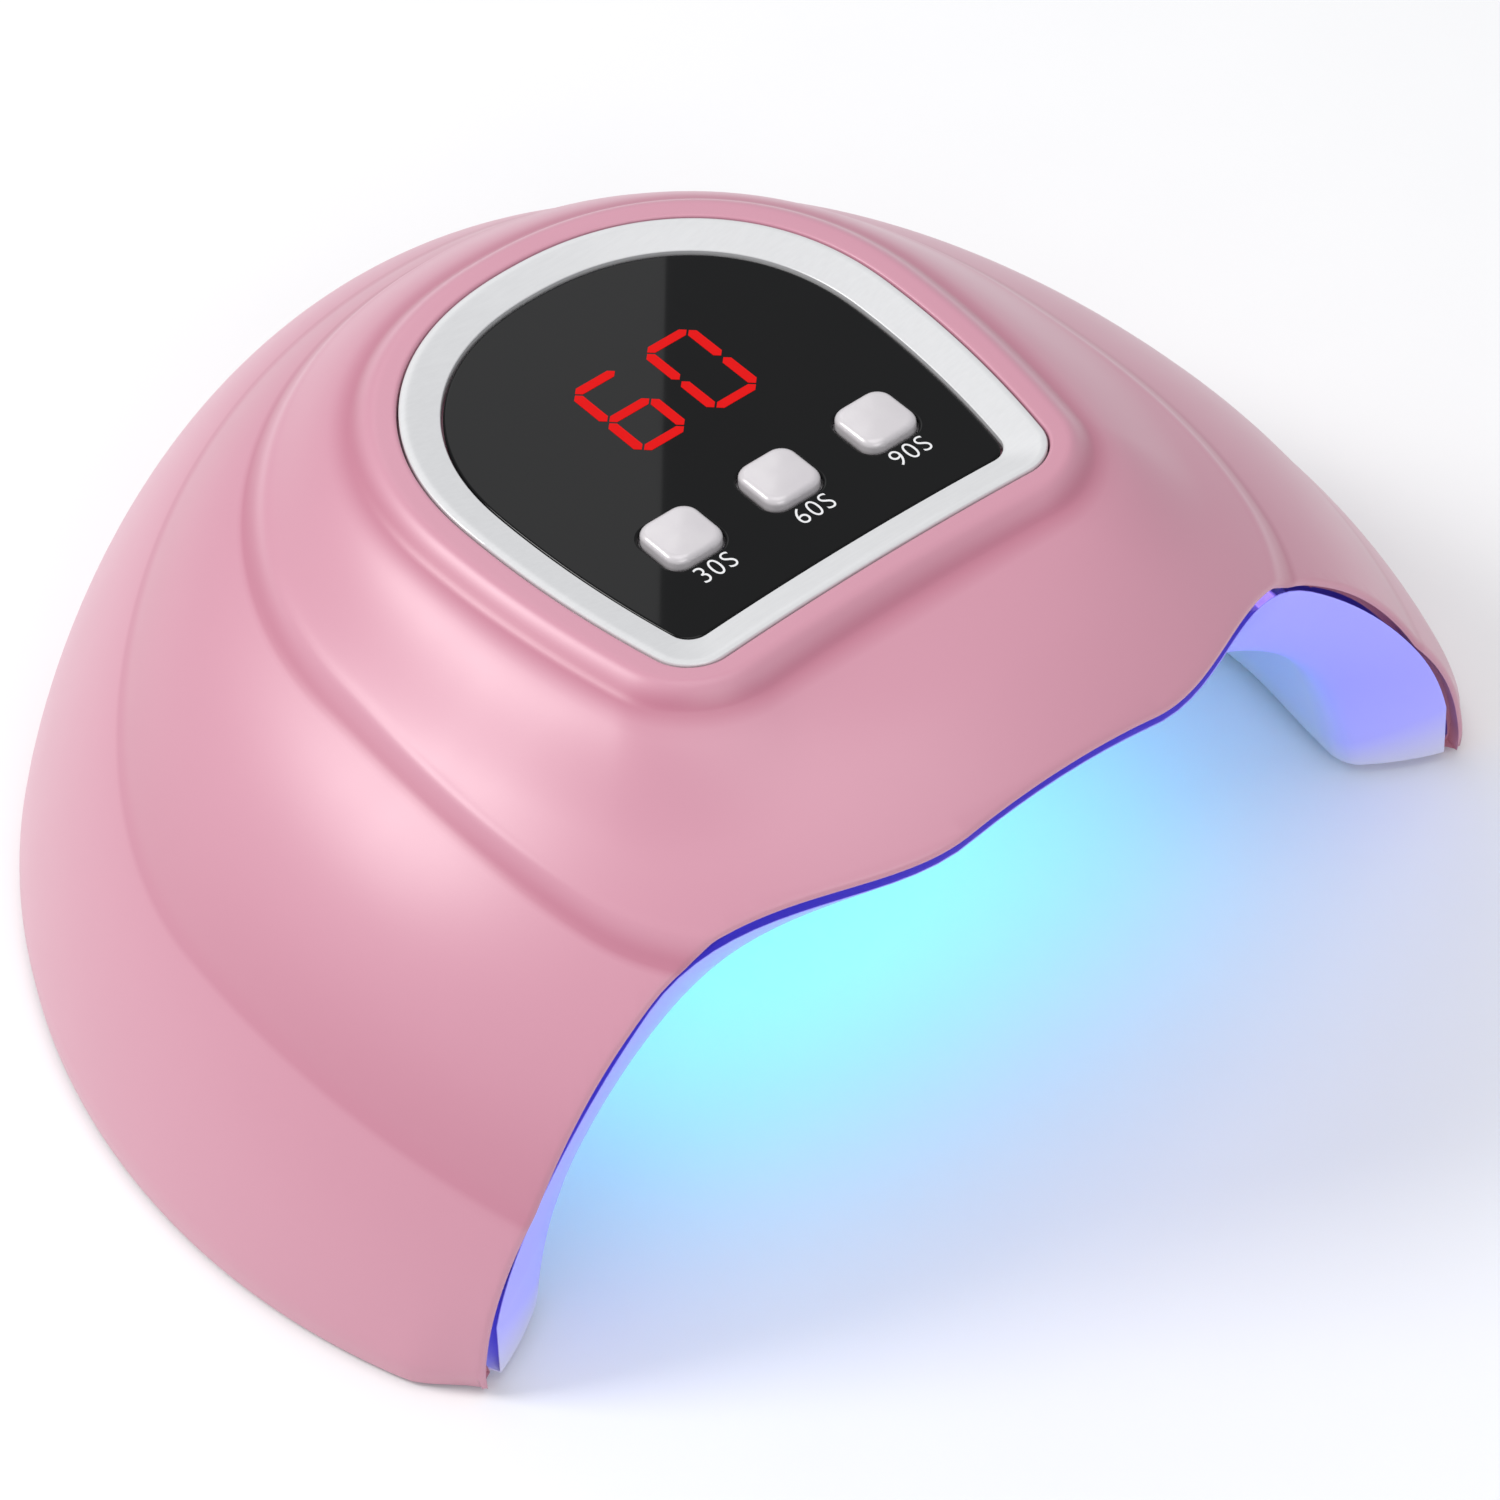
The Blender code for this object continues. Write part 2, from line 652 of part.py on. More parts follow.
def tunnel_point(side, degrees, y):
    """A point of the tunnel; side is -1 on the left and 1 on the right."""
    out, z = arch(degrees, tunnel_half_width(y))
    return Vector((side * out, y, z))


def rear_point(turn, degrees):
    """A point of the tunnel's rounded end; turn is 0 at the back, in radians."""
    out, z = arch(degrees, TUNNEL_WIDE)
    return Vector((out * math.sin(turn), REAR_Y + out * math.cos(turn), z))


def flange_edge(x, y, dx, dy):
    """Where a ray in plan meets the liner's outer edge, just inside the shell."""
    low, high = 0.0, WIDTH
    for _ in range(40):
        middle = (low + high) / 2
        px, py = x + dx * middle, y + dy * middle
        height = dome_height(px, py)
        if plan_fraction(px, py) < 1.0 and height > FLANGE_RECESS + LINER_WALL:
            low = middle
        else:
            high = middle
    px, py = x + dx * low, y + dy * low
    inward = dome_normal(px, py)
    inward.z = 0.0
    inward.normalize()
    back_off = WALL + FLANGE_CLEAR
    return Vector((px - inward.x * back_off, py - inward.y * back_off, FLANGE_Z))


def lip_point(side, degrees):
    """A point of the flared lip, just inside the shell's front edge."""
    reach = tunnel_half_width(LEG_Y) + LEG_WIDTH
    x = reach * math.cos(math.radians(degrees)) ** 0.9
    y = brim_y(x)
    ground = flange_edge(0.0, y, 1.0, 0.0)
    if degrees == 0.0:
        point = Vector((ground.x, y + LIP_RECESS, FLANGE_Z))
    else:
        x = min(x, ground.x)
        for _ in range(4):
            point = under_dome(x, y, LIP_DEPTH)
            y += brim_y(point.x) + LIP_RECESS - point.y
        point.z = max(point.z, FLANGE_Z)
    if point.x > BRIM_END:
        point = tucked(point)
    return Vector((side * point.x, point.y, point.z))


def liner_rows():
    """Rows from the left lip, through the tunnel and round its end, to the right lip."""
    heights = [90.0 * (k / ARCH_STEPS) for k in range(ARCH_STEPS + 1)]
    depths = [LEG_Y + FLARE_DEPTH, LEG_Y + FLARE_DEPTH + SPLAY_LENGTH * 0.5,
              LEG_Y + FLARE_DEPTH + SPLAY_LENGTH, REAR_Y]
    sides = {-1: [], 1: []}
    for side in (-1, 1):
        lip = [lip_point(side, degrees) for degrees in heights]
        first = [tunnel_point(side, degrees, depths[0]) for degrees in heights]
        middle = []
        for outer, inner in zip(lip, first):
            point = outer.lerp(inner, 0.55)
            point.y -= FLARE_DEPTH * 0.10
            middle.append(point)
        middle[0].z = FLANGE_Z
        sides[side].append([lip[0]] + lip)
        for row in [middle] + [[tunnel_point(side, degrees, y) for degrees in heights]
                               for y in depths]:
            edge = flange_edge(row[0].x, row[0].y, side, 0.0)
            sides[side].append([tucked(edge)] + row)
    rear = []
    for k in range(1, REAR_STEPS):
        turn = -math.pi / 2 + math.pi * k / REAR_STEPS
        row = [rear_point(turn, degrees) for degrees in heights]
        edge = flange_edge(row[0].x, row[0].y, math.sin(turn), math.cos(turn))
        rear.append([edge] + row)
    return sides, rear


def make_liner_surface():
    """Underside of the liner as one open surface."""
    sides, rear = liner_rows()
    # the crown line is shared, so left rows run down to the flange and right rows down too
    bm = loft(sides[-1] + rear + sides[1][::-1])
    return bm


def bead_frames():
    """Every bead's board frame: name of the board, matrix at the board's face, bead number."""
    boards = []

    def add(name, points, normal, along):
        """A board behind the liner, square to normal, with a bead at each point."""
        depth = max((point.dot(normal) for point in points)) + LINER_WALL + LED_BOARD_CLEAR
        along = (along - normal * along.dot(normal)).normalized()
        across = along.cross(normal)
        frames = []
        for point in points:
            origin = point + normal * (depth - point.dot(normal))
            turn = Matrix((across, along, normal)).transposed().to_4x4()
            frames.append(Matrix.Translation(origin) @ turn)
        boards.append((name, frames))

    def normal_at(point_at, degrees, where):
        """Outward normal, away from the hand, of a surface given by two parameters."""
        up = point_at(degrees + 1.0, where) - point_at(degrees - 1.0, where)
        on = point_at(degrees, where + 0.001) - point_at(degrees, where - 0.001)
        normal = up.cross(on).normalized()
        away = point_at(degrees, where) - Vector((0.0, LEG_Y + SPLAY_LENGTH, FLANGE_Z))
        return normal if normal.dot(away) > 0.0 else -normal

    rows = [LEG_Y + LED_FIRST + LED_PITCH * k for k in range(3)]
    crown = [LEG_Y + LED_FIRST + LED_PITCH * k for k in range(4)]
    top = [Vector((0.0, y, FLANGE_Z + ROOF_HEIGHT)) for y in crown]
    add("led_board_centre", top, Vector((0, 0, 1)), Vector((0, 1, 0)))
    for side, word in ((-1, "left"), (1, "right")):
        for degrees, level in ((MID_ARCH, "roof"), (LOW_ARCH, "wall")):
            def on_side(up, y, side=side):
                return tunnel_point(side, up, y)
            points = [on_side(degrees, y) for y in rows]
            normal = normal_at(on_side, degrees, rows[1])
            normal.y = 0.0
            normal.normalize()
            add(f"led_board_{level}_{word}", points, normal, Vector((0, 1, 0)))

    def on_rear(up, turn):
        return rear_point(turn, up)
    half_turn = LED_PITCH / 2 / TUNNEL_WIDE
    points = [on_rear(REAR_ARCH, -half_turn), on_rear(REAR_ARCH, half_turn)]
    add("led_board_rear", points, normal_at(on_rear, REAR_ARCH, 0.0), Vector((1, 0, 0)))
    return boards


def sensor_place():
    """The hand sensor sits on the centre board, in front of its first bead."""
    centre = dict(bead_frames())["led_board_centre"]
    return centre[0] @ Matrix.Translation((0.0, LED_PITCH / 2, 0.0))


def make_liner():
    """White liner: lip, tunnel, rounded end and flange, with holes for beads and screws."""
    bm = make_liner_surface()
    crown = max(bm.faces, key=lambda face: face.calc_center_median().z - 9 * abs(
        face.calc_center_median().x) - 9 * abs(face.calc_center_median().y))
    if crown.normal.z > 0.0:
        bmesh.ops.reverse_faces(bm, faces=bm.faces)
    liner = add_object("reflector_liner", mesh_from(bm, "reflector_liner"), WHITE)
    solidify(liner, LINER_WALL)
    holes = []
    for _name, frames in bead_frames():
        for frame in frames:
            start = frame @ Matrix.Translation((0, 0, -LINER_WALL - LED_BOARD_CLEAR - 0.006))
            holes.append(cylinder(LED_RADIUS + FIT, 0.012, start, sides=12))
    holes.append(box((SENSOR_WIDTH + 2 * FIT, SENSOR_LENGTH + 2 * FIT, 0.012), sensor_place()))
    for x, y in boss_places():
        holes.append(cylinder(SCREW_RADIUS + FIT, 0.006, at(x, y, FLANGE_Z - 0.002), sides=10))
    removed = solid_of("liner_holes", None, holes, CUTTERS)
    boolean(liner, as_cutter(removed), "DIFFERENCE")
    round_shading(liner)
    return liner


def make_led_boards():
    """Aluminium boards, their beads and the hand sensor."""
    number = 0
    for name, frames in bead_frames():
        first, last = frames[0].translation, frames[-1].translation
        length = (last - first).length + LED_BOARD_WIDTH
        board = block(name, (LED_BOARD_WIDTH, length, LED_BOARD_THICK), (0, 0, 0), ALUMINIUM)
        middle = Matrix.Translation((first + last) / 2) @ frames[0].to_3x3().to_4x4()
        board.matrix_world = middle @ at(0, 0, LED_BOARD_THICK / 2 + GAP)
        for frame in frames:
            number += 1
            straight = LINER_WALL + LED_BOARD_CLEAR + LED_STAND
            profile = [(0.0, 0.0), (LED_RADIUS, 0.0), (LED_RADIUS, -straight)]
            for k in range(1, 4):
                turn = math.pi / 2 * k / 3
                profile.append((LED_RADIUS * math.cos(turn), -straight - LED_DOME * math.sin(turn)))
            profile[-1] = (0.0, -straight - LED_DOME)
            turned(f"led_bead_{number:02d}", profile, frame, LENS, steps=12)
    height = LINER_WALL + LED_BOARD_CLEAR + 0.0004
    sensor = block("hand_sensor", (SENSOR_WIDTH, SENSOR_LENGTH, height), (0, 0, 0), DARK)
    sensor.matrix_world = sensor_place() @ at(0, 0, -height / 2)


# ---------------------------------------------------------------- panel


def make_trim_ring():
    """Silver ring: upright outside, a band that slopes down to the window inside."""
    inner = -TRIM_BAND
    rows = []
    section = (
        (0.0, LEDGE_Z + GAP),
        (0.0, PAD_Z - 0.0003),
        (-0.0003, PAD_Z),
        (-0.0012, PAD_Z),
        (inner, PAD_Z - TRIM_FUNNEL),
        (inner, LEDGE_Z + GAP),
    )
    for grow, height in section:
        rows.append([(x, y, height) for x, y in panel_loop(grow)])
    bm = loft(rows, close_rows=True, close_ends=True)
    ring = add_object("trim_ring", mesh_from(bm, "trim_ring"), SILVER)
    round_shading(ring)


def button_places():
    """Centres of the buttons, in plan, from left to right."""
    middle = (len(BUTTONS) - 1) / 2
    return [(FACE_RIGHT + BUTTON_PITCH * (k - middle), BUTTON_Y) for k in range(len(BUTTONS))]


def make_window():
    """Black window with a square hole for each button."""
    hole = BUTTON_SIZE + 2 * FIT
    loops = [panel_loop(-TRIM_BAND - GAP)]
    loops += [rounded_square(hole, BUTTON_CORNER + FIT, place) for place in button_places()]
    window = flat_plate("display_window", loops, WINDOW_BOTTOM, WINDOW_TOP, BLACK_GLOSS)
    round_shading(window)


def make_buttons():
    """Caps with skirt and stem, the switches under them and their plungers."""
    skirt = BUTTON_SIZE + 2 * BUTTON_SKIRT
    switch_top = BOARD_TOP + GAP + SWITCH_HEIGHT
    plunger_top = switch_top - PLUNGER_DEPTH + PLUNGER_HEIGHT
    for word, (x, y) in zip(BUTTONS, button_places()):
        layers = [
            (STEM_RADIUS * 2, STEM_RADIUS * 0.95, plunger_top + GAP),
            (STEM_RADIUS * 2, STEM_RADIUS * 0.95, SKIRT_TOP - BUTTON_SKIRT_THICK),
            (skirt, BUTTON_CORNER, SKIRT_TOP - BUTTON_SKIRT_THICK),
            (skirt, BUTTON_CORNER, SKIRT_TOP),
            (BUTTON_SIZE, BUTTON_CORNER, SKIRT_TOP),
            (BUTTON_SIZE, BUTTON_CORNER, BUTTON_TOP - 0.0006),
            (BUTTON_SIZE - 0.0012, BUTTON_CORNER * 0.9, BUTTON_TOP),
        ]
        local = [(size, corner, height - BUTTON_TOP) for size, corner, height in layers]
        cap = stacked_squares(f"button_{word}", local, CAP_WHITE)
        cap.location = (x, y, BUTTON_TOP)
        round_shading(cap)

        floor = switch_top - PLUNGER_DEPTH - BUTTON_TRAVEL - GAP
        body = block(f"switch_body_{word}", (SWITCH_SIZE, SWITCH_SIZE, SWITCH_HEIGHT),
                     (x, y, switch_top - SWITCH_HEIGHT / 2), DARK, edge=0.0)
        bore = solid_of(f"switch_bore_{word}", None,
                        [cylinder(PLUNGER_RADIUS + FIT, 0.01, at(x, y, floor), sides=12)], CUTTERS)
        boolean(body, as_cutter(bore), "DIFFERENCE")
        profile = [(0.0, PLUNGER_HEIGHT), (PLUNGER_RADIUS, PLUNGER_HEIGHT),
                   (PLUNGER_RADIUS, 0.0), (0.0, 0.0)]
        turned(f"switch_plunger_{word}", profile, at(x, y, switch_top - PLUNGER_DEPTH),
               STEEL, steps=12)


def make_board():
    """Control board with what is soldered to it, and its three screws."""
    holes = []
    for x, y in post_places():
        radius = BOARD_SCREW_RADIUS + FIT
        holes.append([(x + radius * math.cos(2 * math.pi * k / 10),
                       y + radius * math.sin(2 * math.pi * k / 10)) for k in range(10)])
    flat_plate("control_board", [panel_loop(-BOARD_INSET, ROUND // 2)] + holes,
               BOARD_BOTTOM, BOARD_TOP, GREEN)
    display_y = LEG_Y + DISPLAY_FROM_LEGS
    low = BOARD_TOP + GAP
    high = WINDOW_BOTTOM - DISPLAY_UNDER_WINDOW
    block("display_block", (DISPLAY_WIDTH, DISPLAY_LENGTH, high - low),
          (FACE_RIGHT, display_y, (low + high) / 2), DISPLAY_RED)
    under = BOARD_BOTTOM - GAP
    parts = (
        ("timer_chip", (0.0078, 0.0054, 0.0017), (0.0, display_y - 0.022), DARK),
        ("driver_coil", (0.0090, 0.0090, 0.0052), (-0.0170, display_y), DARK),
        ("led_plug", (0.0100, 0.0058, 0.0060), (0.0170, display_y - 0.006), CAP_WHITE),
        ("power_plug", (0.0075, 0.0058, 0.0060), (0.0, display_y + 0.016), CAP_WHITE),
    )
    for name, size, (x, y), finish in parts:
        block(name, size, (x, y, under - size[2] / 2), finish)
    radius, height = 0.0032, 0.0095
    profile = [(0.0, 0.0), (radius, 0.0), (radius, -height), (0.0, -height)]
    turned("capacitor", profile, at(0.0165, display_y + 0.009, under), STEEL, steps=14)
    for k, (x, y) in enumerate(post_places(), start=1):
        head = BOARD_BOTTOM - GAP
        shank = BOARD_SCREW_LENGTH - 0.0004 + GAP
        profile = [(0.0, shank), (BOARD_SCREW_RADIUS, shank), (BOARD_SCREW_RADIUS, 0.0),
                   (BOARD_SCREW_HEAD, 0.0), (BOARD_SCREW_HEAD * 0.8, -0.0010), (0.0, -0.0010)]
        turned(f"board_screw_{k}", profile, at(x, y, head), STEEL, steps=10)


# ---------------------------------------------------------------- underside and back


def make_case_screws():
    """Screws through the flange of the liner into the bosses of the shell."""
    for k, (x, y) in enumerate(boss_places(), start=1):
        head = FLANGE_Z - GAP
        profile = [(0.0, SCREW_LENGTH), (SCREW_RADIUS, SCREW_LENGTH), (SCREW_RADIUS, 0.0),
                   (SCREW_HEAD_RADIUS, 0.0), (SCREW_HEAD_RADIUS * 0.75, -SCREW_HEAD),
                   (0.0, -SCREW_HEAD)]
        turned(f"case_screw_{k}", profile, at(x, y, head), STEEL, steps=12)


def foot_places():
    """Centres of the four feet, in plan."""
    front_y = LEG_Y + FOOT_FROM_LEGS
    dy = (front_y - DOME_Y) / DOME_FRONT
    front_x = WIDTH / 2 * math.sqrt(1.0 - dy * dy) - BOSS_INSET
    turn = math.radians(FOOT_REAR_ANGLE)
    rear_x = (WIDTH / 2 - BOSS_INSET) * math.sin(turn)
    rear_y = DOME_Y + (DOME_BACK - BOSS_INSET) * math.cos(turn)
    return [(-front_x, front_y), (front_x, front_y), (-rear_x, rear_y), (rear_x, rear_y)]


def make_feet():
    """Round rubber feet under the flange."""
    height = FLANGE_Z - GAP
    for k, (x, y) in enumerate(foot_places(), start=1):
        profile = [(0.0, height), (FOOT_RADIUS, height), (FOOT_RADIUS, 0.0004),
                   (FOOT_RADIUS - 0.0005, 0.0), (0.0, 0.0)]
        turned(f"rubber_foot_{k}", profile, at(x, y, 0.0), RUBBER, steps=20)


def back_of_dome(height, depth):
    """How far back, on the middle plane, the surface this deep in the dome is this high."""
    low, high = DOME_Y, DEPTH / 2
    for _ in range(40):
        middle = (low + high) / 2
        if ceiling(0.0, middle, depth) > height:
            low = middle
        else:
            high = middle
    return low


def make_inlet():
    """Power inlet behind the shell's back, with its centre pin."""
    inner_y = back_of_dome(INLET_Z + INLET_FLANGE + GAP, WALL) - INLET_CLEAR
    skin_y = back_of_dome(INLET_Z + INLET_RADIUS, 0.0) - GAP
    place = at(0.0, inner_y, INLET_Z) @ Matrix.Rotation(-math.pi / 2, 4, "X")
    front = skin_y - inner_y
    back = INLET_FLANGE_THICK - INLET_LENGTH
    profile = [(0.0, front - INLET_BORE_DEPTH), (INLET_BORE, front - INLET_BORE_DEPTH),
               (INLET_BORE, front), (INLET_RADIUS, front), (INLET_RADIUS, 0.0),
               (INLET_FLANGE, 0.0), (INLET_FLANGE, -INLET_FLANGE_THICK),
               (INLET_RADIUS, -INLET_FLANGE_THICK), (INLET_RADIUS, back), (0.0, back)]
    turned("power_inlet", profile, place, DARK, steps=20)
    pin_low = front - INLET_BORE_DEPTH + GAP
    profile = [(0.0, front - 0.001), (PIN_RADIUS, front - 0.001), (PIN_RADIUS, pin_low), (0.0, pin_low)]
    turned("inlet_pin", profile, place, STEEL, steps=10)


def main():
    """Make every piece."""
    make_shell()
    make_liner()
    make_led_boards()
    make_trim_ring()
    make_window()
    make_buttons()
    make_board()
    make_case_screws()
    make_feet()
    make_inlet()
    bpy.context.view_layer.update()


main()
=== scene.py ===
# %% [markdown]
# # A nail curing lamp, dressed
#
# The working model comes first: it is loaded as a fixed frame, and everything here is built
# around it. The lamp is a pink moulded cover over a white reflector, a black timer window in a
# silver ring, three small push buttons, and the beads that cure the gel. The plain solids keep
# the sizes; this lesson makes the fine surfaces, the finishes and the light.

import math

import bmesh
import bpy
import numpy as np
from mathutils import Matrix, Vector


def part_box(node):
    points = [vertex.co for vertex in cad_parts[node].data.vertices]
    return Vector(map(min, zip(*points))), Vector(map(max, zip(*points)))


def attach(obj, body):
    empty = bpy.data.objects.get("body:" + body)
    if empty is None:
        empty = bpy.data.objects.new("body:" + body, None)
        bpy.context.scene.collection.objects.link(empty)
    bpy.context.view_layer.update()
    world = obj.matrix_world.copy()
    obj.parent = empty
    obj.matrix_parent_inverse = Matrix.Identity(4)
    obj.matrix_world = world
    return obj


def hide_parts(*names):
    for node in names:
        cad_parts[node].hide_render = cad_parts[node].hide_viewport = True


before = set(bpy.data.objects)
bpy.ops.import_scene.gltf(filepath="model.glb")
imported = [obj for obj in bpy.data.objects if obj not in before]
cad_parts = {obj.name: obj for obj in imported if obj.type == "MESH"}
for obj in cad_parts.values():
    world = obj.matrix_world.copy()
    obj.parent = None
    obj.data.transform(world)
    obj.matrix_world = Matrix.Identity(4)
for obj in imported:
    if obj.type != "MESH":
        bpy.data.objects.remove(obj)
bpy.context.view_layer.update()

# %% [markdown]
# ## Sizes from the frame
#
# The cover, the ring, the window and the buttons say where they are, so the fine pieces take
# their places from those boxes. Only the shape rules of the mouldings are written here: how
# full the dome is, how the panel is rounded, and how the two ridges run round it.

# %% Places read from the frame
MM = 0.001
shell_low, shell_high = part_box("top_shell")
ring_low, ring_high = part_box("trim_ring")
window_low, window_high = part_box("display_window")
HALF_WIDTH = shell_high.x
BRIM_FRONT, BACK = shell_low.y, shell_high.y
FLOOR_EDGE, PAD_Z = shell_low.z, shell_high.z
print(f"cover {2 * HALF_WIDTH / MM:.0f} x {(BACK - BRIM_FRONT) / MM:.0f} x {PAD_Z / MM:.0f} mm")

# %% Shape rules of the cover
WALL = 2.2 * MM
GAP = 0.3 * MM
PAD_PROUD = 0.5 * MM
DOME_HEIGHT = PAD_Z - PAD_PROUD - FLOOR_EDGE
BRIM_BULGE, BRIM_FLAT, BRIM_END = 14 * MM, 16 * MM, 58 * MM
LEG_Y = BRIM_FRONT + BRIM_BULGE
DOME_SETBACK = 48.2 * MM
DOME_Y = LEG_Y + DOME_SETBACK
DOME_BACK, DOME_FRONT = BACK - DOME_Y, 106 * MM
SIDE_POWER, FRONT_POWER, BACK_POWER, CROWN_POWER = 2.6, 3.4, 4.0, 1.32
TUCK, TUCK_HEIGHT, TUCK_DEPTH = 3.4 * MM, 26 * MM, 8.5 * MM
JUST_INSIDE, SLOPE_STEP = 0.995, 0.2 * MM


def smooth(low, high, value):
    """0 below low, 1 above high, with a smooth rise between."""
    share = np.clip((value - low) / (high - low), 0.0, 1.0)
    return share * share * (3.0 - 2.0 * share)


def brim_y(x):
    """The front edge in plan: the leg plane with the brim's bulge."""
    return LEG_Y - BRIM_BULGE * (1.0 - smooth(BRIM_FLAT, BRIM_END, np.abs(x)))


def plan_fraction(x, y):
    """0 at the dome's centre, 1 on the lower edge of the cover."""
    dy = y - DOME_Y
    return np.hypot(x / HALF_WIDTH, dy / np.where(dy > 0.0, DOME_BACK, DOME_FRONT))


def dome_height(x, y):
    """Height of the plain dome above the cover's lower edge."""
    dy = y - DOME_Y
    across = dy * dy / (x * x + dy * dy + 1e-12)
    power = SIDE_POWER + (np.where(dy > 0.0, BACK_POWER, FRONT_POWER) - SIDE_POWER) * across
    filled = np.maximum(0.0, 1.0 - plan_fraction(x, y) ** power)
    return DOME_HEIGHT * filled ** (1.0 / CROWN_POWER)


def dome_normal(x, y):
    """Unit normals of the plain dome, taken just inside its lower edge."""
    shrink = np.minimum(1.0, JUST_INSIDE / np.maximum(plan_fraction(x, y), 1e-9))
    x, y = x * shrink, DOME_Y + (y - DOME_Y) * shrink
    step = SLOPE_STEP
    slope_x = (dome_height(x + step, y) - dome_height(x - step, y)) / (2 * step)
    slope_y = (dome_height(x, y + step) - dome_height(x, y - step)) / (2 * step)
    normal = np.stack([-slope_x, -slope_y, np.ones_like(slope_x)], -1)
    return normal / np.linalg.norm(normal, axis=-1, keepdims=True)


print("dome centre at y =", round(DOME_Y / MM, 1), "mm")

# %% Shape rules of the panel
PANEL_Y = LEG_Y + 63 * MM
PANEL_HALF_WIDTH = ring_high.x
PANEL_BACK, PANEL_FRONT = ring_high.y - PANEL_Y, 41.2 * MM
PANEL_POWER, PANEL_TAPER, PANEL_HOLLOW = 2.2, 5.2 * MM, 1.4 * MM
PANEL_CORNER, PANEL_CORNER_LEAST = 5.5 * MM, 2.8 * MM
TRIM_BAND = 5.4 * MM
LEDGE_Z = ring_low.z - GAP
FARTHEST, HALVINGS = 0.4, 40


def inside_panel(x, y, grow):
    """Whether points are inside the panel's outline, grown by a distance."""
    dy = y - PANEL_Y
    half = PANEL_HALF_WIDTH + grow
    behind = np.maximum(dy, 0.0) / (PANEL_BACK + grow)
    rear = (np.abs(x) / half) ** PANEL_POWER + behind ** PANEL_POWER < 1.0
    side = half - PANEL_TAPER * (np.minimum(dy, 0.0) / PANEL_FRONT) ** 2
    front = PANEL_FRONT + grow - PANEL_HOLLOW * (1.0 - (x / PANEL_HALF_WIDTH) ** 2)
    radius = max(PANEL_CORNER + grow, PANEL_CORNER_LEAST)
    past_side = np.maximum(np.abs(x) - side + radius, 0.0)
    past_front = np.maximum(-dy - front + radius, 0.0)
    return np.where(dy > 0.0, rear, np.hypot(past_side, past_front) < radius)


def inside_base(x, y, _grow):
    """Whether points are inside the cover's lower edge."""
    return plan_fraction(x, y) < 1.0


def outline(inside, angles, grow=0.0):
    """Where rays from the panel's centre leave an outline; angle 0 points to the back."""
    low, high = np.zeros_like(angles), np.full_like(angles, FARTHEST)
    for _ in range(HALVINGS):
        middle = (low + high) / 2
        within = inside(middle * np.sin(angles), PANEL_Y + middle * np.cos(angles), grow)
        low, high = np.where(within, middle, low), np.where(within, high, middle)
    return low * np.sin(angles), PANEL_Y + low * np.cos(angles)


def turns(steps):
    """Angles once round the panel, anticlockwise seen from above."""
    return -2 * np.pi * np.arange(steps) / steps


print("panel half-width", round(PANEL_HALF_WIDTH / MM, 1), "mm")

# %% [markdown]
# ## Helpers for meshes
#
# Every moulded piece here is a grid of points bent over a rule, so one function turns rows of
# points into a mesh. Sculpting or a subdivision cage would also give soft shapes, but a rule
# keeps every wall and gap at its size. Modifiers finish a piece, and their result is then kept
# as a plain mesh whose object sits at the origin.

# %% Points, objects and results


def grid_mesh(name, rows, closed=False):
    """A mesh of quads over rows of points; rows has the shape (rows, points, 3)."""
    count, width = rows.shape[:2]
    index = np.arange(count * width).reshape(count, width)
    if closed:
        index = np.concatenate([index, index[:, :1]], axis=1)
    corners = (index[:-1, :-1], index[1:, :-1], index[1:, 1:], index[:-1, 1:])
    faces = np.stack(corners, -1).reshape(-1, 4)
    mesh = bpy.data.meshes.new(name)
    mesh.from_pydata(rows.reshape(-1, 3).tolist(), [], faces.tolist())
    return mesh


def in_scene(name, data):
    """A new object that shows this data."""
    thing = bpy.data.objects.new(name, data)
    bpy.context.scene.collection.objects.link(thing)
    return thing


def dress(mesh, finish):
    """Give a mesh one finish."""
    mesh.materials.clear()
    mesh.materials.append(finish)


def piece_of(name, mesh, finish):
    """An object at the origin with one finish."""
    dress(mesh, finish)
    return in_scene(name, mesh)


def evaluated_mesh(thing):
    """The plain mesh that an object's modifiers or curve settings make, in its place."""
    bpy.context.view_layer.update()
    seen = thing.evaluated_get(bpy.context.evaluated_depsgraph_get())
    mesh = bpy.data.meshes.new_from_object(seen)
    mesh.transform(thing.matrix_world)
    return mesh


def keep_result(piece, degrees=35.0):
    """Replace a piece's mesh with what its modifiers make of it, smooth where it is round."""
    mesh = evaluated_mesh(piece)
    piece.modifiers.clear()
    piece.data = mesh
    piece.matrix_world = Matrix.Identity(4)
    mesh.shade_smooth()
    mesh.set_sharp_from_angle(angle=math.radians(degrees))
    return piece


def from_drawing(drawn):
    """Turn a curve or text object into a mesh in its place, and remove the object."""
    mesh = evaluated_mesh(drawn)
    bpy.data.objects.remove(drawn)
    return mesh


print("objects and results ready")

# %% Welding and walls
LEAST_WALL = 0.06


def weld_skin(mesh, merge, upward=True):
    """Merge doubles and face an open surface up or down."""
    bm = bmesh.new()
    bm.from_mesh(mesh)
    bmesh.ops.remove_doubles(bm, verts=bm.verts, dist=merge)
    bmesh.ops.dissolve_degenerate(bm, edges=bm.edges, dist=merge / 10)
    bmesh.ops.recalc_face_normals(bm, faces=bm.faces)
    top = max(bm.faces, key=lambda face: face.calc_center_median().z)
    if (top.normal.z > 0.0) != upward:
        bmesh.ops.reverse_faces(bm, faces=bm.faces)
    bm.to_mesh(mesh)
    bm.free()


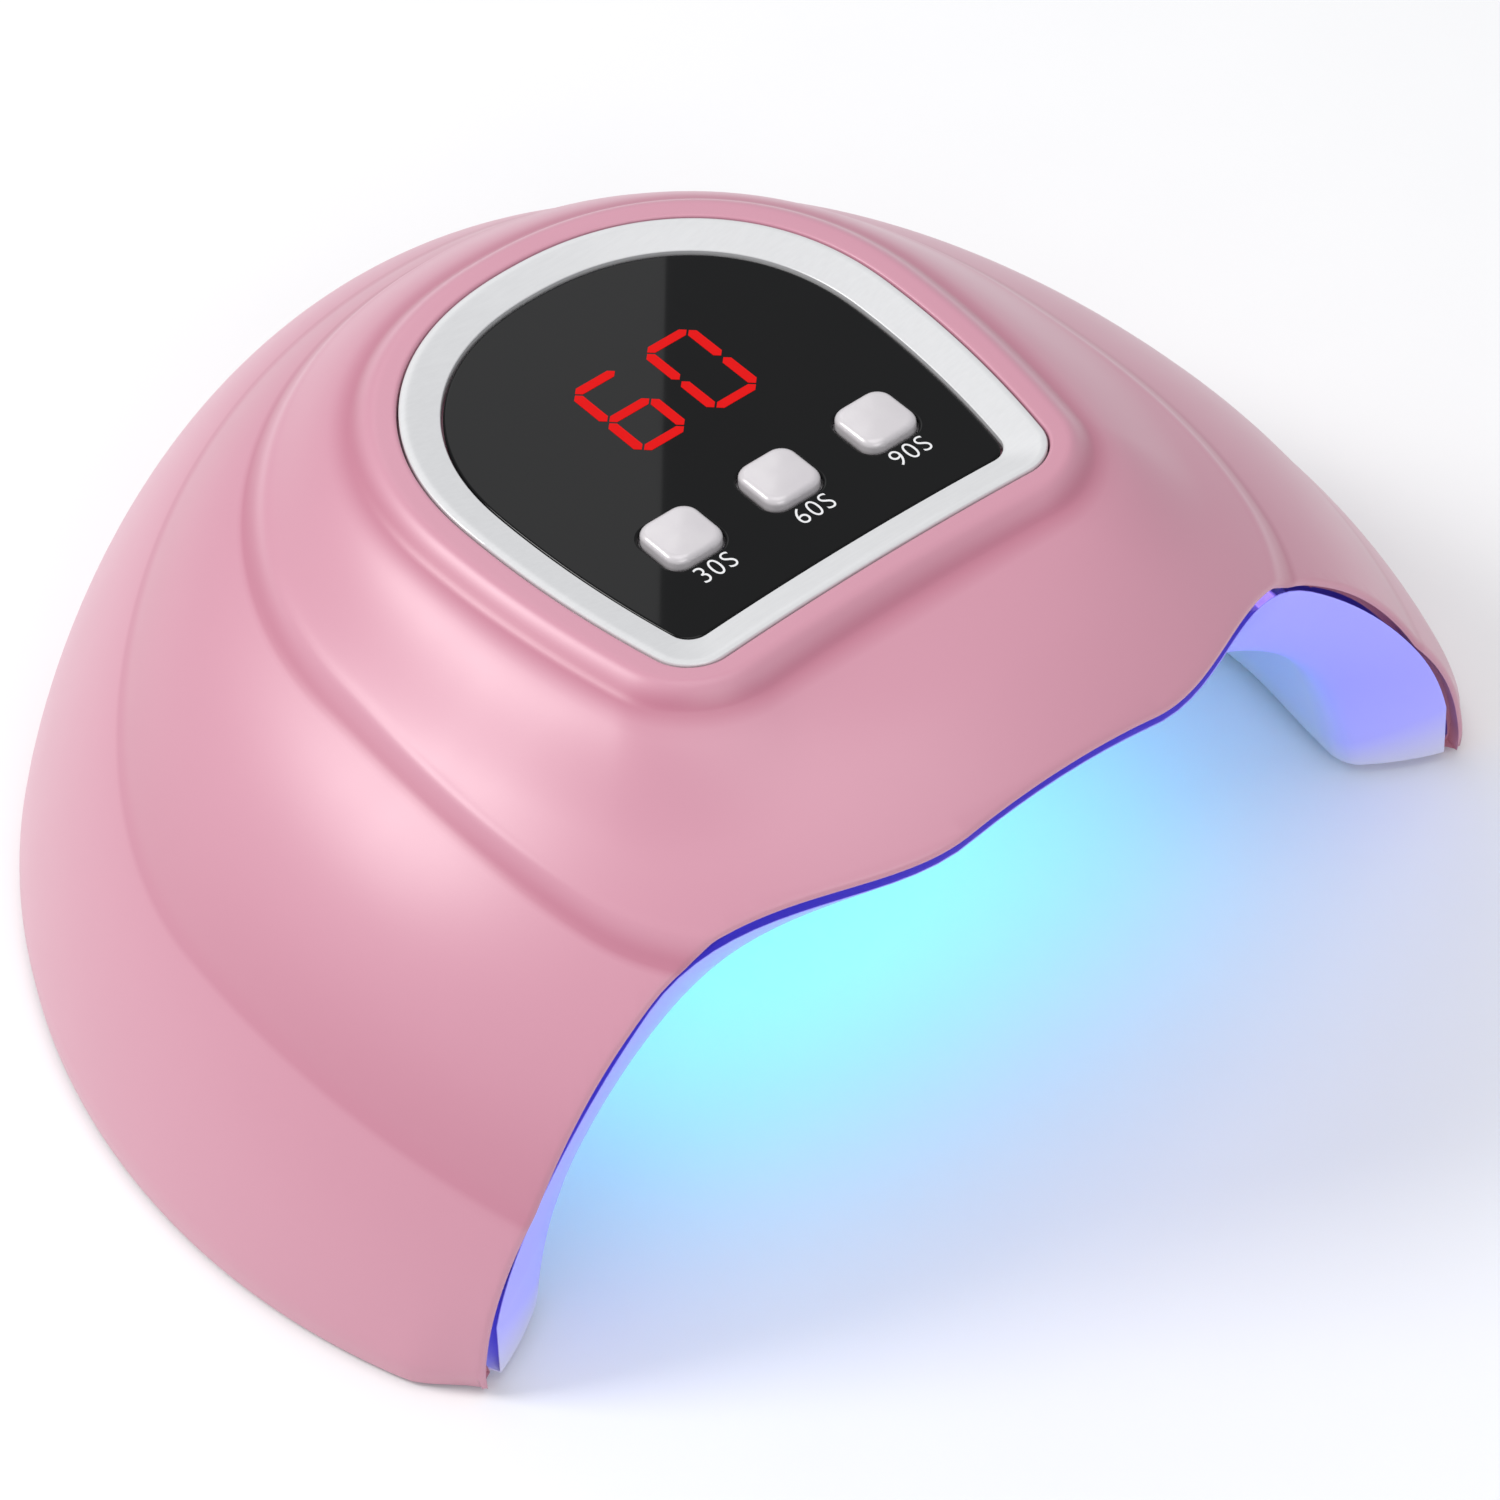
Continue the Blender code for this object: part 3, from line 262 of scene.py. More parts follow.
def weld_closed(mesh, merge=0.002 * MM, fill=False):
    """Merge doubles of a closed piece, fill its ends if asked, and face it outwards."""
    bm = bmesh.new()
    bm.from_mesh(mesh)
    bmesh.ops.remove_doubles(bm, verts=bm.verts, dist=merge)
    if fill:
        bmesh.ops.holes_fill(bm, edges=[edge for edge in bm.edges if edge.is_boundary])
    bmesh.ops.recalc_face_normals(bm, faces=bm.faces)
    bm.to_mesh(mesh)
    bm.free()


def thicken(piece, wall, taper=""):
    """Give an open surface its wall, away from its normals, and thinner where a group says."""
    solid = piece.modifiers.new("wall", "SOLIDIFY")
    solid.thickness = wall
    solid.offset = -1.0
    solid.use_even_offset = True
    solid.use_quality_normals = True
    solid.vertex_group = taper
    solid.thickness_vertex_group = LEAST_WALL


print("welding and walls ready")

# %% Cutters and turned pieces
CUTTER_SIDES = 32


def cut(piece, cutters):
    """Cut a piece with a list of bmesh solids, and keep the result."""
    joined = bpy.data.meshes.new("cutters")
    bm = bmesh.new()
    for solid in cutters:
        part = bpy.data.meshes.new("cutter")
        solid.to_mesh(part)
        solid.free()
        bm.from_mesh(part)
        bpy.data.meshes.remove(part)
    bm.to_mesh(joined)
    bm.free()
    tool = in_scene("cutters", joined)
    step = piece.modifiers.new("cut", "BOOLEAN")
    step.operation = "DIFFERENCE"
    step.solver = "EXACT"
    step.object = tool
    keep_result(piece)
    bpy.data.objects.remove(tool)


def cylinder(radius, length, place):
    """A bmesh cylinder from place's origin along its +Z."""
    bm = bmesh.new()
    bmesh.ops.create_cone(bm, cap_ends=True, segments=CUTTER_SIDES, radius1=radius,
                          radius2=radius, depth=length)
    bmesh.ops.transform(bm, matrix=place @ Matrix.Translation((0, 0, length / 2)), verts=bm.verts)
    return bm


def block(size, place):
    """A bmesh block with its middle at place's origin."""
    bm = bmesh.new()
    bmesh.ops.create_cube(bm, size=1.0)
    bmesh.ops.transform(bm, matrix=place @ Matrix.Diagonal((*size, 1.0)), verts=bm.verts)
    return bm


def rounded(radius, degrees):
    """How far in and how far down a rounded edge is after this much of its turn."""
    turn = math.radians(degrees)
    return radius * (1 - math.cos(turn)), radius * (1 - math.sin(turn))


def turned(name, profile, finish, steps=48):
    """A turned solid round +Z; the profile runs down the outer side, top to bottom."""
    bm = bmesh.new()
    points = [bm.verts.new((radius, 0.0, height)) for radius, height in profile]
    for one, two in zip(points, points[1:]):
        bm.edges.new((one, two))
    mesh = bpy.data.meshes.new(name)
    bm.to_mesh(mesh)
    bm.free()
    piece = piece_of(name, mesh, finish)
    screw = piece.modifiers.new("turn", "SCREW")
    screw.steps = screw.render_steps = steps
    screw.use_merge_vertices = True
    screw.merge_threshold = 0.01 * MM
    return keep_result(piece)


def report(piece):
    """Print what was made."""
    print(f"{piece.name}: {len(piece.data.polygons)} faces")


print("cutters and turned pieces ready")

# %% [markdown]
# ## Helpers for nodes and finishes
#
# A finish is a Principled shader with some maths in front of it. The maths could be wired node
# by node, but it reads best as Python, so a small class wraps a socket and lets it be added and
# multiplied. One method makes any other node, and the trees that set out the repeated pieces
# use the same two classes.

# %% A socket that does maths


class Value:
    """A number, a colour or a shape flowing through a node tree."""

    def __init__(self, nodes, socket):
        self.nodes = nodes
        self.socket = socket

    def math(self, operation, *others):
        return self.nodes.out("ShaderNodeMath", 0, {"operation": operation}, self, *others)

    def __add__(self, other):
        return self.math("ADD", other)

    def __mul__(self, other):
        return self.math("MULTIPLY", other)

    def __sub__(self, other):
        return self.math("SUBTRACT", other)

    def __rsub__(self, other):
        return self.nodes.out("ShaderNodeMath", 0, {"operation": "SUBTRACT"}, other, self)

    __radd__ = __add__
    __rmul__ = __mul__


class Nodes:
    """A node tree, with one method that makes any node in it."""

    def __init__(self, tree):
        self.tree = tree

    def plug(self, socket, amount):
        """Give a socket a plain value or a link."""
        if isinstance(amount, Value):
            self.tree.links.new(amount.socket, socket)
        else:
            socket.default_value = amount

    def node(self, kind, settings=None, *amounts, **named):
        """Any node: its settings first, then its sockets in order or by name."""
        made = self.tree.nodes.new(kind)
        for name, amount in (settings or {}).items():
            setattr(made, name, amount)
        for socket, amount in zip(made.inputs, amounts):
            self.plug(socket, amount)
        for name, amount in named.items():
            self.plug(made.inputs[name.replace("_", " ")], amount)
        return made

    def out(self, kind, output, settings=None, *amounts, **named):
        """One output of a new node."""
        made = self.node(kind, settings, *amounts, **named)
        return Value(self, made.outputs[output])


# %% A finish


class Finish(Nodes):
    """A material with a Principled shader, and short ways to add nodes in front of it."""

    def __init__(self, name, colour, roughness, metallic=0.0, **fixed):
        self.material = bpy.data.materials.new(name)
        self.material.use_nodes = True
        super().__init__(self.material.node_tree)
        self.shader = self.tree.nodes["Principled BSDF"]
        self.set("Base Color", (*colour, 1.0))
        self.set("Roughness", roughness)
        self.set("Metallic", metallic)
        for words, amount in fixed.items():
            self.set(words.replace("_", " ").title().replace("Ior", "IOR"), amount)

    def set(self, name, amount):
        """Set one of the shader's own sockets."""
        self.plug(self.shader.inputs[name], amount)

    def place(self, stretch=(1.0, 1.0, 1.0)):
        """Object coordinates, stretched."""
        here = self.out("ShaderNodeTexCoord", "Object")
        return self.out("ShaderNodeMapping", "Vector", None, here, Scale=stretch)

    def noise(self, size, detail=2.0, where=None):
        """Soft noise from 0 to 1 whose lumps are about this size, in metres."""
        return self.out("ShaderNodeTexNoise", 0, None, Vector=where or self.place(),
                        Scale=1.0 / size, Detail=detail)

    def blend(self, share, one, two):
        """Mix two colours by a share."""
        made = self.node("ShaderNodeMix", {"data_type": "RGBA"}, share)
        self.plug(made.inputs[6], one if isinstance(one, Value) else (*one, 1.0))
        self.plug(made.inputs[7], two if isinstance(two, Value) else (*two, 1.0))
        return Value(self, made.outputs[2])

    def bump(self, height, depth, strength):
        """Feed heights from 0 to 1 to the shader's normal; depth is in metres."""
        made = self.out("ShaderNodeBump", "Normal", None, Strength=strength, Distance=depth,
                        Height=height)
        self.set("Normal", made)


def tinted(colour, amount):
    """A colour made lighter or darker by a factor."""
    return tuple(min(1.0, part * amount) for part in colour)


print("finish helpers ready")

# %% [markdown]
# ## The finishes
#
# The cover is injection-moulded plastic with a satin face: its colour is even, its gloss varies
# a little, and a very fine grain breaks the highlight. The deeper pink in its hollows is painted
# shade: soft light fills a hollow, so a share worked out on the mesh darkens the colour there.
# The reflector is glossy white plastic that looks violet in the light of its beads. Many small
# lamps would be slow and grainy, so its violet and its glow are painted light: each point's
# share of that light is worked out on the mesh too, and read here as an attribute.

# %% Cover, reflector and ring
PINK = (0.585, 0.262, 0.345)
# The deeper pink below is painted shade for the cover's hollows.
SHADED_PINK = (0.47, 0.150, 0.225)
# The violet base colour and the violet glow are painted light of the beads; the white is the
# reflector's own colour.
LINER_WHITE, PAINTED_LIGHT_VIOLET = (0.74, 0.74, 0.77), (0.38, 0.37, 0.74)
PAINTED_GLOW_VIOLET = (0.05, 0.04, 0.64)


def satin_pink():
    finish = Finish("powder_pink_satin", PINK, 0.40, coat_weight=0.55, coat_roughness=0.36,
                    sheen_weight=0.06, sheen_roughness=0.45, sheen_tint=(1.0, 0.93, 0.95, 1.0))
    cloud = finish.noise(42 * MM, 3.0)
    even = finish.blend(cloud, tinted(PINK, 0.97), tinted(PINK, 1.03))
    # Painted shade: the pink is darkened by each point's stored share of shade in the hollows.
    painted_shade = finish.out("ShaderNodeAttribute", "Fac", {"attribute_name": "painted_shade"})
    finish.set("Base Color", finish.blend(painted_shade, even, SHADED_PINK))
    finish.set("Roughness", finish.noise(9 * MM) * 0.06 + 0.37)
    finish.bump(finish.noise(0.35 * MM, 3.0), 0.012 * MM, 0.5)
    return finish.material


def lit_white():
    finish = Finish("lit_white_reflector", LINER_WHITE, 0.34, coat_weight=0.2, coat_roughness=0.15)
    # Painted light: where the beads' light falls, the white turns violet and glows.
    lit = finish.out("ShaderNodeAttribute", "Fac", {"attribute_name": "lit"})
    soft = lit * (finish.noise(18 * MM) * 0.06 + 0.97)
    finish.set("Base Color", finish.blend(soft, LINER_WHITE, PAINTED_LIGHT_VIOLET))
    finish.set("Emission Color", finish.blend(soft, (0.0, 0.0, 0.0), PAINTED_GLOW_VIOLET))
    finish.set("Emission Strength", 0.62)
    finish.bump(finish.noise(0.6 * MM), 0.01 * MM, 0.4)
    return finish.material


def satin_silver():
    finish = Finish("satin_silver_ring", (0.70, 0.70, 0.71), 0.38, 0.12, coat_weight=0.2,
                    coat_roughness=0.2)
    streaks = finish.noise(0.5 * MM, 2.0, finish.place(stretch=(0.15, 1.0, 1.0)))
    finish.set("Roughness", streaks * 0.08 + 0.30)
    finish.set("Base Color", finish.blend(streaks, (0.64, 0.64, 0.645), (0.70, 0.70, 0.705)))
    return finish.material


shell_finish, liner_finish, ring_finish = satin_pink(), lit_white(), satin_silver()
print("finishes:", shell_finish.name, liner_finish.name, ring_finish.name)

# %% Window, digits and buttons


def polished_black():
    finish = Finish("polished_black_window", (0.003, 0.003, 0.003), 0.02, specular_ior_level=0.2)
    film = finish.noise(14 * MM, 4.0)
    finish.set("Roughness", film * 0.02 + 0.01)
    dark, light = (0.0025, 0.0025, 0.0028), (0.0035, 0.0035, 0.0035)
    finish.set("Base Color", finish.blend(film, dark, light))
    return finish.material


def glowing_red():
    finish = Finish("red_digit_glow", (0.35, 0.002, 0.002), 0.5, specular_ior_level=0.1)
    grain = finish.noise(0.8 * MM)
    finish.set("Emission Color", finish.blend(grain, (0.9, 0.0, 0.0), (1.0, 0.004, 0.004)))
    finish.set("Emission Strength", 0.40)
    return finish.material


def printed_white():
    finish = Finish("printed_white_legend", (0.80, 0.80, 0.80), 0.5)
    speckle = finish.noise(0.25 * MM)
    finish.set("Base Color", finish.blend(speckle, (0.72, 0.72, 0.73), (0.86, 0.86, 0.86)))
    return finish.material


def pearl_button():
    finish = Finish("pearl_white_button", (0.74, 0.70, 0.72), 0.30, 0.12, coat_weight=0.4,
                    coat_roughness=0.15)
    pearl = finish.noise(5 * MM, 3.0)
    finish.set("Base Color", finish.blend(pearl, (0.60, 0.565, 0.59), (0.67, 0.64, 0.65)))
    finish.set("Roughness", finish.noise(0.4 * MM) * 0.06 + 0.27)
    return finish.material


window_finish, digit_finish = polished_black(), glowing_red()
legend_finish, button_finish = printed_white(), pearl_button()
print("finishes:", window_finish.name, digit_finish.name, button_finish.name)

# %% Beads, metal, rubber and what is inside


def violet_lens():
    finish = Finish("violet_bead_lens", (0.62, 0.55, 0.98), 0.10, coat_weight=0.6,
                    coat_roughness=0.05)
    core = finish.noise(1.2 * MM)
    finish.set("Emission Color", finish.blend(core, (0.32, 0.18, 1.0), (0.50, 0.34, 1.0)))
    finish.set("Emission Strength", 1.0)
    return finish.material


def grained(name, colour, roughness, metallic=0.0, grain=0.5 * MM, depth=0.02 * MM, spread=0.06):
    """A plain moulded, cast or rolled finish with a fine grain."""
    finish = Finish(name, colour, roughness, metallic)
    speck = finish.noise(grain, 3.0)
    dark, light = tinted(colour, 1 - spread), tinted(colour, 1 + spread)
    finish.set("Base Color", finish.blend(speck, dark, light))
    finish.set("Roughness", finish.noise(grain * 8) * 0.12 + (roughness - 0.06))
    finish.bump(speck, depth, 0.5)
    return finish.material


def circuit_green():
    """Solder mask over copper tracks, with tinned pads in rows."""
    finish = Finish("circuit_green", (0.02, 0.16, 0.06), 0.35)
    place = finish.place(stretch=(1.0, 1.0, 0.0))
    tracks = finish.out("ShaderNodeTexBrick", "Fac", {"offset": 0.5}, Vector=place, Scale=260.0,
                        Mortar_Size=0.06)
    pads = finish.out("ShaderNodeTexVoronoi", "Distance", None, Vector=place, Scale=420.0,
                      Randomness=0.15)
    tinned = pads.math("LESS_THAN", 0.16)
    mask = finish.blend(tracks, (0.012, 0.13, 0.045), (0.03, 0.24, 0.09))
    finish.set("Base Color", finish.blend(tinned, mask, (0.62, 0.60, 0.55)))
    finish.set("Metallic", tinned * 0.8)
    return finish.material


def ringed_steel():
    finish = Finish("turned_steel", (0.58, 0.58, 0.59), 0.30, 1.0)
    rings = finish.noise(0.2 * MM, 2.0, finish.place(stretch=(1.0, 1.0, 6.0)))
    finish.set("Roughness", rings * 0.16 + 0.22)
    return finish.material


lens_finish, board_finish, steel_finish = violet_lens(), circuit_green(), ringed_steel()
rubber_finish = grained("black_rubber", (0.035, 0.035, 0.036), 0.85, depth=0.05 * MM, spread=0.2)
dark_finish = grained("black_moulding", (0.028, 0.028, 0.031), 0.48)
nylon_finish = grained("natural_nylon", (0.78, 0.74, 0.66), 0.5)
masked_finish = grained("white_masked_board", (0.80, 0.81, 0.84), 0.4, 0.2)
can_finish = grained("drawn_can", (0.66, 0.67, 0.70), 0.3, 0.9, grain=0.3 * MM)
filter_finish = grained("red_filter", (0.22, 0.01, 0.01), 0.25)
sensor_finish = grained("infrared_lens", (0.03, 0.01, 0.02), 0.12, depth=0.002 * MM)
print("finishes:", len(bpy.data.materials))

# %% [markdown]
# ## The cover
#
# On the real lamp this is one moulding. Its skin runs from the seat of the ring, over the
# raised pad, down a smooth shoulder and out over the dome, with two ridges on the way: a narrow
# crisp step, and a wide soft one that ends in a crease. A grid of rays from the panel's centre
# suits it, because the pad and both ridges run round the panel. Rows are packed close where
# the skin turns sharply.

# %% Ridges and pad
PAD_RIM, PAD_VALLEY, VALLEY_DROP = 3.2 * MM, 7.6 * MM, 3.0 * MM
VALLEY_BLEND = 0.26
RIDGE_IN, RIDGE_OUT = (0.25, 0.30, 0.56), (0.36, 0.74, 0.95)
IN_STEP, OUT_STEP = 0.75 * MM, 1.25 * MM
IN_WIDE, OUT_WIDE = 3.2 * MM, 17 * MM
IN_AFTER, OUT_AFTER = 16 * MM, 17 * MM
IN_LIP, IN_LIP_WIDE = 0.10 * MM, 1.6 * MM
SOFTEN = 0.35 * MM
RIDGES_END = 0.97


def by_direction(angles, back, side, front):
    """Blend three values round the lamp; angle 0 is the back."""
    facing = np.cos(angles)
    return side + (np.where(facing > 0.0, back, front) - side) * facing * facing


def crease(distance, step, before, after, power):
    """Depth of a ridge: the skin falls to a crease and comes back after it."""
    away = np.sqrt(distance * distance + SOFTEN * SOFTEN) - SOFTEN
    falling = np.maximum(0.0, 1.0 - away / before) ** power
    rising = np.maximum(0.0, 1.0 - away / after) ** 2
    return -step * np.where(distance < 0.0, falling, rising)


def skin_span(angles):
    """Where the dome's skin starts and ends along each ray, and the length between."""
    vx, vy = outline(inside_panel, angles, PAD_VALLEY)
    ex, ey = outline(inside_base, angles)
    return vx, vy, ex, ey, np.hypot(ex - vx, ey - vy)


def past_ridges(angles, shares, length):
    """How far a share of the way lies outside the inner and the outer crease."""
    return ((shares - by_direction(angles, *RIDGE_IN)) * length,
            (shares - by_direction(angles, *RIDGE_OUT)) * length)


def skin(angles, shares):
    """Points of the dome outside the pad; shares run from the pad's valley to the lower edge."""
    vx, vy, ex, ey, length = skin_span(angles)
    x, y = vx + (ex - vx) * shares, vy + (ey - vy) * shares
    lift = PAD_Z - VALLEY_DROP - FLOOR_EDGE - dome_height(vx, vy)
    height = FLOOR_EDGE + dome_height(x, y) + lift * (1.0 - smooth(0.0, VALLEY_BLEND, shares))
    inner, outer = past_ridges(angles, shares, length)
    proud = crease(inner, IN_STEP, IN_WIDE, IN_AFTER, 1.0)
    proud += crease(outer, OUT_STEP, OUT_WIDE, OUT_AFTER, 2.0)
    proud += IN_LIP * np.exp(-((inner + IN_WIDE) / IN_LIP_WIDE * 2.0) ** 2)
    proud *= 1.0 - smooth(RIDGES_END, 1.0, shares)
    return np.stack([x, y, height], -1) + dome_normal(x, y) * proud[..., None], lift


print("inner step", IN_STEP / MM, "mm, outer step", OUT_STEP / MM, "mm")

# %% Rows of the cover
COVER_TURNS = 360
SEAT_ROUND, SEAT_INWARD = 0.4 * MM, 1.8 * MM
PAD_ROWS, PAD_ROWS_FROM = 16, 0.12
PAD_SLOPE_FROM, PAD_SLOPE_TO = PAD_RIM * 0.9, PAD_VALLEY - 0.7 * MM
IN_NEAR, IN_PAST, OUT_NEAR = IN_WIDE * 1.6, 1.2 * MM, 2.4 * MM
SKIN_ROWS = (14, 13, 16, 9, 24)


def spaced(low, high, count):
    """Shares from low up to but not at high, for each angle."""
    steps = np.arange(count) / count
    return low + (high - low) * steps[:, None]


def cover_rows():
    """Rows of points from the ring's seat to the lower edge."""
    angles = turns(COVER_TURNS)
    rows = []
    seat = [(-TRIM_BAND - SEAT_INWARD, LEDGE_Z), (GAP, LEDGE_Z), (GAP, PAD_Z - SEAT_ROUND)]
    for degrees in (30.0, 60.0, 90.0):
        inward, down = rounded(SEAT_ROUND, degrees)
        seat.append((GAP + inward, PAD_Z - down))
    for grow, height in seat:
        x, y = outline(inside_panel, angles, grow)
        rows.append(np.stack([x, y, np.full_like(x, height)], -1))
    lift = skin(angles, np.zeros_like(angles))[1]
    for share in np.linspace(PAD_ROWS_FROM, 1.0, PAD_ROWS, endpoint=False):
        grow = PAD_VALLEY * share
        x, y = outline(inside_panel, angles, grow)
        down = smooth(PAD_SLOPE_FROM, PAD_SLOPE_TO, grow)
        plain = FLOOR_EDGE + dome_height(x, y) + lift
        rows.append(np.stack([x, y, PAD_Z + (plain - PAD_Z) * down], -1))
    length = skin_span(angles)[-1]
    inner, outer = by_direction(angles, *RIDGE_IN), by_direction(angles, *RIDGE_OUT)
    marks = [np.zeros_like(outer), inner - IN_NEAR / length, inner + IN_PAST / length,
             outer - OUT_NEAR / length, outer + OUT_NEAR / length, np.ones_like(outer)]
    shares = np.concatenate([*map(spaced, marks, marks[1:], SKIN_ROWS), marks[-1:]])
    wide = np.broadcast_to(angles, shares.shape)
    return np.concatenate([np.array(rows), skin(wide, np.clip(shares, 0.0, 1.0))[0]])


cover_grid = cover_rows()
print("cover grid", cover_grid.shape[:2])

# %% [markdown]
# The front of the cover is then cut along the brim. A curved cutter solid could do it. Planes
# are simpler, in a space where the brim's bulge has been taken out, and the same space gives
# the rim its rounded edge: the last strip is cut into narrow bands that sink in step by step.
# The legs' front corners turn in near the floor, as the liner's do. Each point also keeps a
# share of painted shade, up to 1 in the hollows beside the pad and the ridges, which the finish
# reads to darken the pink there.

# %% Painted shade in the hollows
# Painted shade: how dark the pink is made on the inner ridge, before the outer crease and at the
# pad's foot.
IN_SHADE, OUT_SHADE, PAD_SHADE = 0.75, 0.50, 0.85
SHADE_STOPS, SHADE_ENDS = -0.15 * MM, 0.5 * MM
FOOT_FROM, FOOT_DEEPEST, FOOT_ENDS = -3.4 * MM, -1.4 * MM, 2.6 * MM


def painted_shade_share(places):
    """Painted shade: 0 on open faces, up to 1 in the hollows beside the pad and the two ridges."""
    x, y = places[:, 0], places[:, 1]
    angles = np.arctan2(x, y - PANEL_Y)
    vx, vy, _ex, _ey, length = skin_span(angles)
    share = (np.hypot(x, y - PANEL_Y) - np.hypot(vx, vy - PANEL_Y)) / length
    inner, outer = past_ridges(angles, share, length)
    riser = smooth(-IN_WIDE, -0.3 * IN_WIDE, inner) * (1.0 - smooth(SHADE_STOPS, SHADE_ENDS, inner))
    dip = smooth(-OUT_WIDE, 0.0, outer) ** 2 * (1.0 - smooth(SHADE_STOPS, SHADE_ENDS, outer))
    beside = share * length
    foot = smooth(FOOT_FROM, FOOT_DEEPEST, beside) * (1.0 - smooth(FOOT_DEEPEST, FOOT_ENDS, beside))
    return np.clip(IN_SHADE * riser + OUT_SHADE * dip + PAD_SHADE * foot, 0.0, 1.0)


def store(mesh, name, amounts):
    """Keep a number for each point, for a finish to read."""
    attribute = mesh.attributes.new(name, "FLOAT", "POINT")
    attribute.data.foreach_set("value", amounts.astype(np.float32))


print("hollows: pad", PAD_SHADE, "inner", IN_SHADE, "outer", OUT_SHADE)

# %% Cut the brim and round the rim
RIM_ROUND = 0.8 * MM
RIM_BANDS = (1.0, 0.55, 0.25, 0.07, 0.0)


def rounded_sink(distance):
    """How far a rim's skin sinks, this far from its edge."""
    inside = np.clip(RIM_ROUND - distance, 0.0, RIM_ROUND)
    return RIM_ROUND - math.sqrt(max(0.0, RIM_ROUND * RIM_ROUND - inside * inside))


def tucked(place, behind):
    """Turn a point in where it is on a leg's front corner, this far behind the brim."""
    up = max(0.0, 1.0 - (place[2] - FLOOR_EDGE) / TUCK_HEIGHT)
    shift = TUCK * (1.0 - float(smooth(0.0, TUCK_DEPTH, behind))) * min(1.0, up * up)
    return np.array([place[0] - math.copysign(shift, place[0]), place[1], place[2]])


def cut_brim(mesh):
    """Cut the skin along the front edge, tuck the legs' corners in and round the rim."""
    bm = bmesh.new()
    bm.from_mesh(mesh)
    for vert in bm.verts:
        vert.co.y -= float(brim_y(vert.co.x))
    for share in RIM_BANDS:
        geometry = bm.verts[:] + bm.edges[:] + bm.faces[:]
        bmesh.ops.bisect_plane(bm, geom=geometry, dist=1e-6, plane_co=(0, RIM_ROUND * share, 0),
                               plane_no=(0, 1, 0), clear_inner=share == 0.0)
    places = np.array([vert.co for vert in bm.verts])
    places[:, 1] += brim_y(places[:, 0])
    # Painted shade: each point's share of shade in the hollows, kept for the finish.
    shade_shares = painted_shade_share(places)
    normals = dome_normal(places[:, 0], places[:, 1])
    for vert, place, normal in zip(bm.verts, places, normals):
        behind = place[1] - float(brim_y(place[0]))
        edge = min(behind, place[2] - FLOOR_EDGE)
        place = place - normal * (rounded_sink(edge) if edge < RIM_ROUND else 0.0)
        vert.co = tucked(place, behind) if abs(place[0]) > BRIM_END else place
    bm.to_mesh(mesh)
    bm.free()
    store(mesh, "painted_shade", shade_shares)


cover_mesh = grid_mesh("cover_skin", cover_grid, closed=True)
cut_brim(cover_mesh)
print("skin after the cut:", len(cover_mesh.polygons), "faces")

# %% Cover with its wall and the inlet's hole
weld_skin(cover_mesh, 0.03 * MM)
cover = piece_of("cover_skin", cover_mesh, shell_finish)
thicken(cover, WALL)
keep_result(cover, 40.0)
inlet_low, inlet_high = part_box("power_inlet")
inlet_z = (inlet_low.z + inlet_high.z) / 2
BACKWARD = Matrix.Rotation(-math.pi / 2, 4, "X")
INLET_HOLE, HOLE_FROM, HOLE_LENGTH = 4.3 * MM, BACK - 20 * MM, 30 * MM
hole_place = Matrix.Translation((0, HOLE_FROM, inlet_z)) @ BACKWARD
cut(cover, [cylinder(INLET_HOLE, HOLE_LENGTH, hole_place)])
report(cover)

# %% [markdown]
# ## The reflector
#
# The white liner is the tunnel for the hand: a flared lip just inside the cover's brim, walls
# that lean in, a rounded far end, and a flat flange that closes the underside. Lofting a few
# curves would make it quickly, but it would drift from the working model, so it follows that
# model's rule, with finer rows and a soft edge between flare and tunnel. Its wall thins towards
# the lip, so that the lip lies snug in the brim.

# %% Shape rules of the reflector
LEG_WIDTH, FLARE_DEPTH = 19 * MM, 8 * MM
SPLAY, SPLAY_LENGTH = 3 * MM, 27 * MM
ARCH_POWER, ARCH_LEAN = 3.0, 0.20
BACK_SPACE, LINER_WALL = 25.7 * MM, 2.0 * MM
FLANGE_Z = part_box("reflector_liner")[0].z
ROOF_DROP = 31.8 * MM
ROOF_HEIGHT = FLOOR_EDGE + DOME_HEIGHT - ROOF_DROP - FLANGE_Z
LIP_DEPTH, LIP_RECESS, FLANGE_CLEAR = WALL + GAP / 2, 0.6 * MM, 1.0 * MM
LIP_TAPER = 6 * MM
LIP_SPREAD = 0.9
ARCH_ROWS, FLARE_ROWS, TUNNEL_ROWS, REAR_ROWS = 48, 12, 18, 72
LEG_EDGE = HALF_WIDTH * math.sqrt(1.0 - ((DOME_Y - LEG_Y) / DOME_FRONT) ** 2)


def tunnel_half_width(y):
    """Half the tunnel's width at the floor."""
    start = LEG_Y + FLARE_DEPTH
    return LEG_EDGE - LEG_WIDTH + SPLAY * smooth(start, start + SPLAY_LENGTH, y)


TUNNEL_WIDE = float(tunnel_half_width(BACK))
REAR_Y = BACK - BACK_SPACE - TUNNEL_WIDE


def arch(degrees, half_width):
    """Distance from the middle and height, this far up the arch."""
    turn = np.radians(degrees)
    out = half_width * np.maximum(0.0, np.cos(turn)) ** (2.0 / ARCH_POWER)
    up = ROOF_HEIGHT * np.maximum(0.0, np.sin(turn)) ** (2.0 / ARCH_POWER)
    return out - ARCH_LEAN * up * np.cos(turn), FLANGE_Z + up


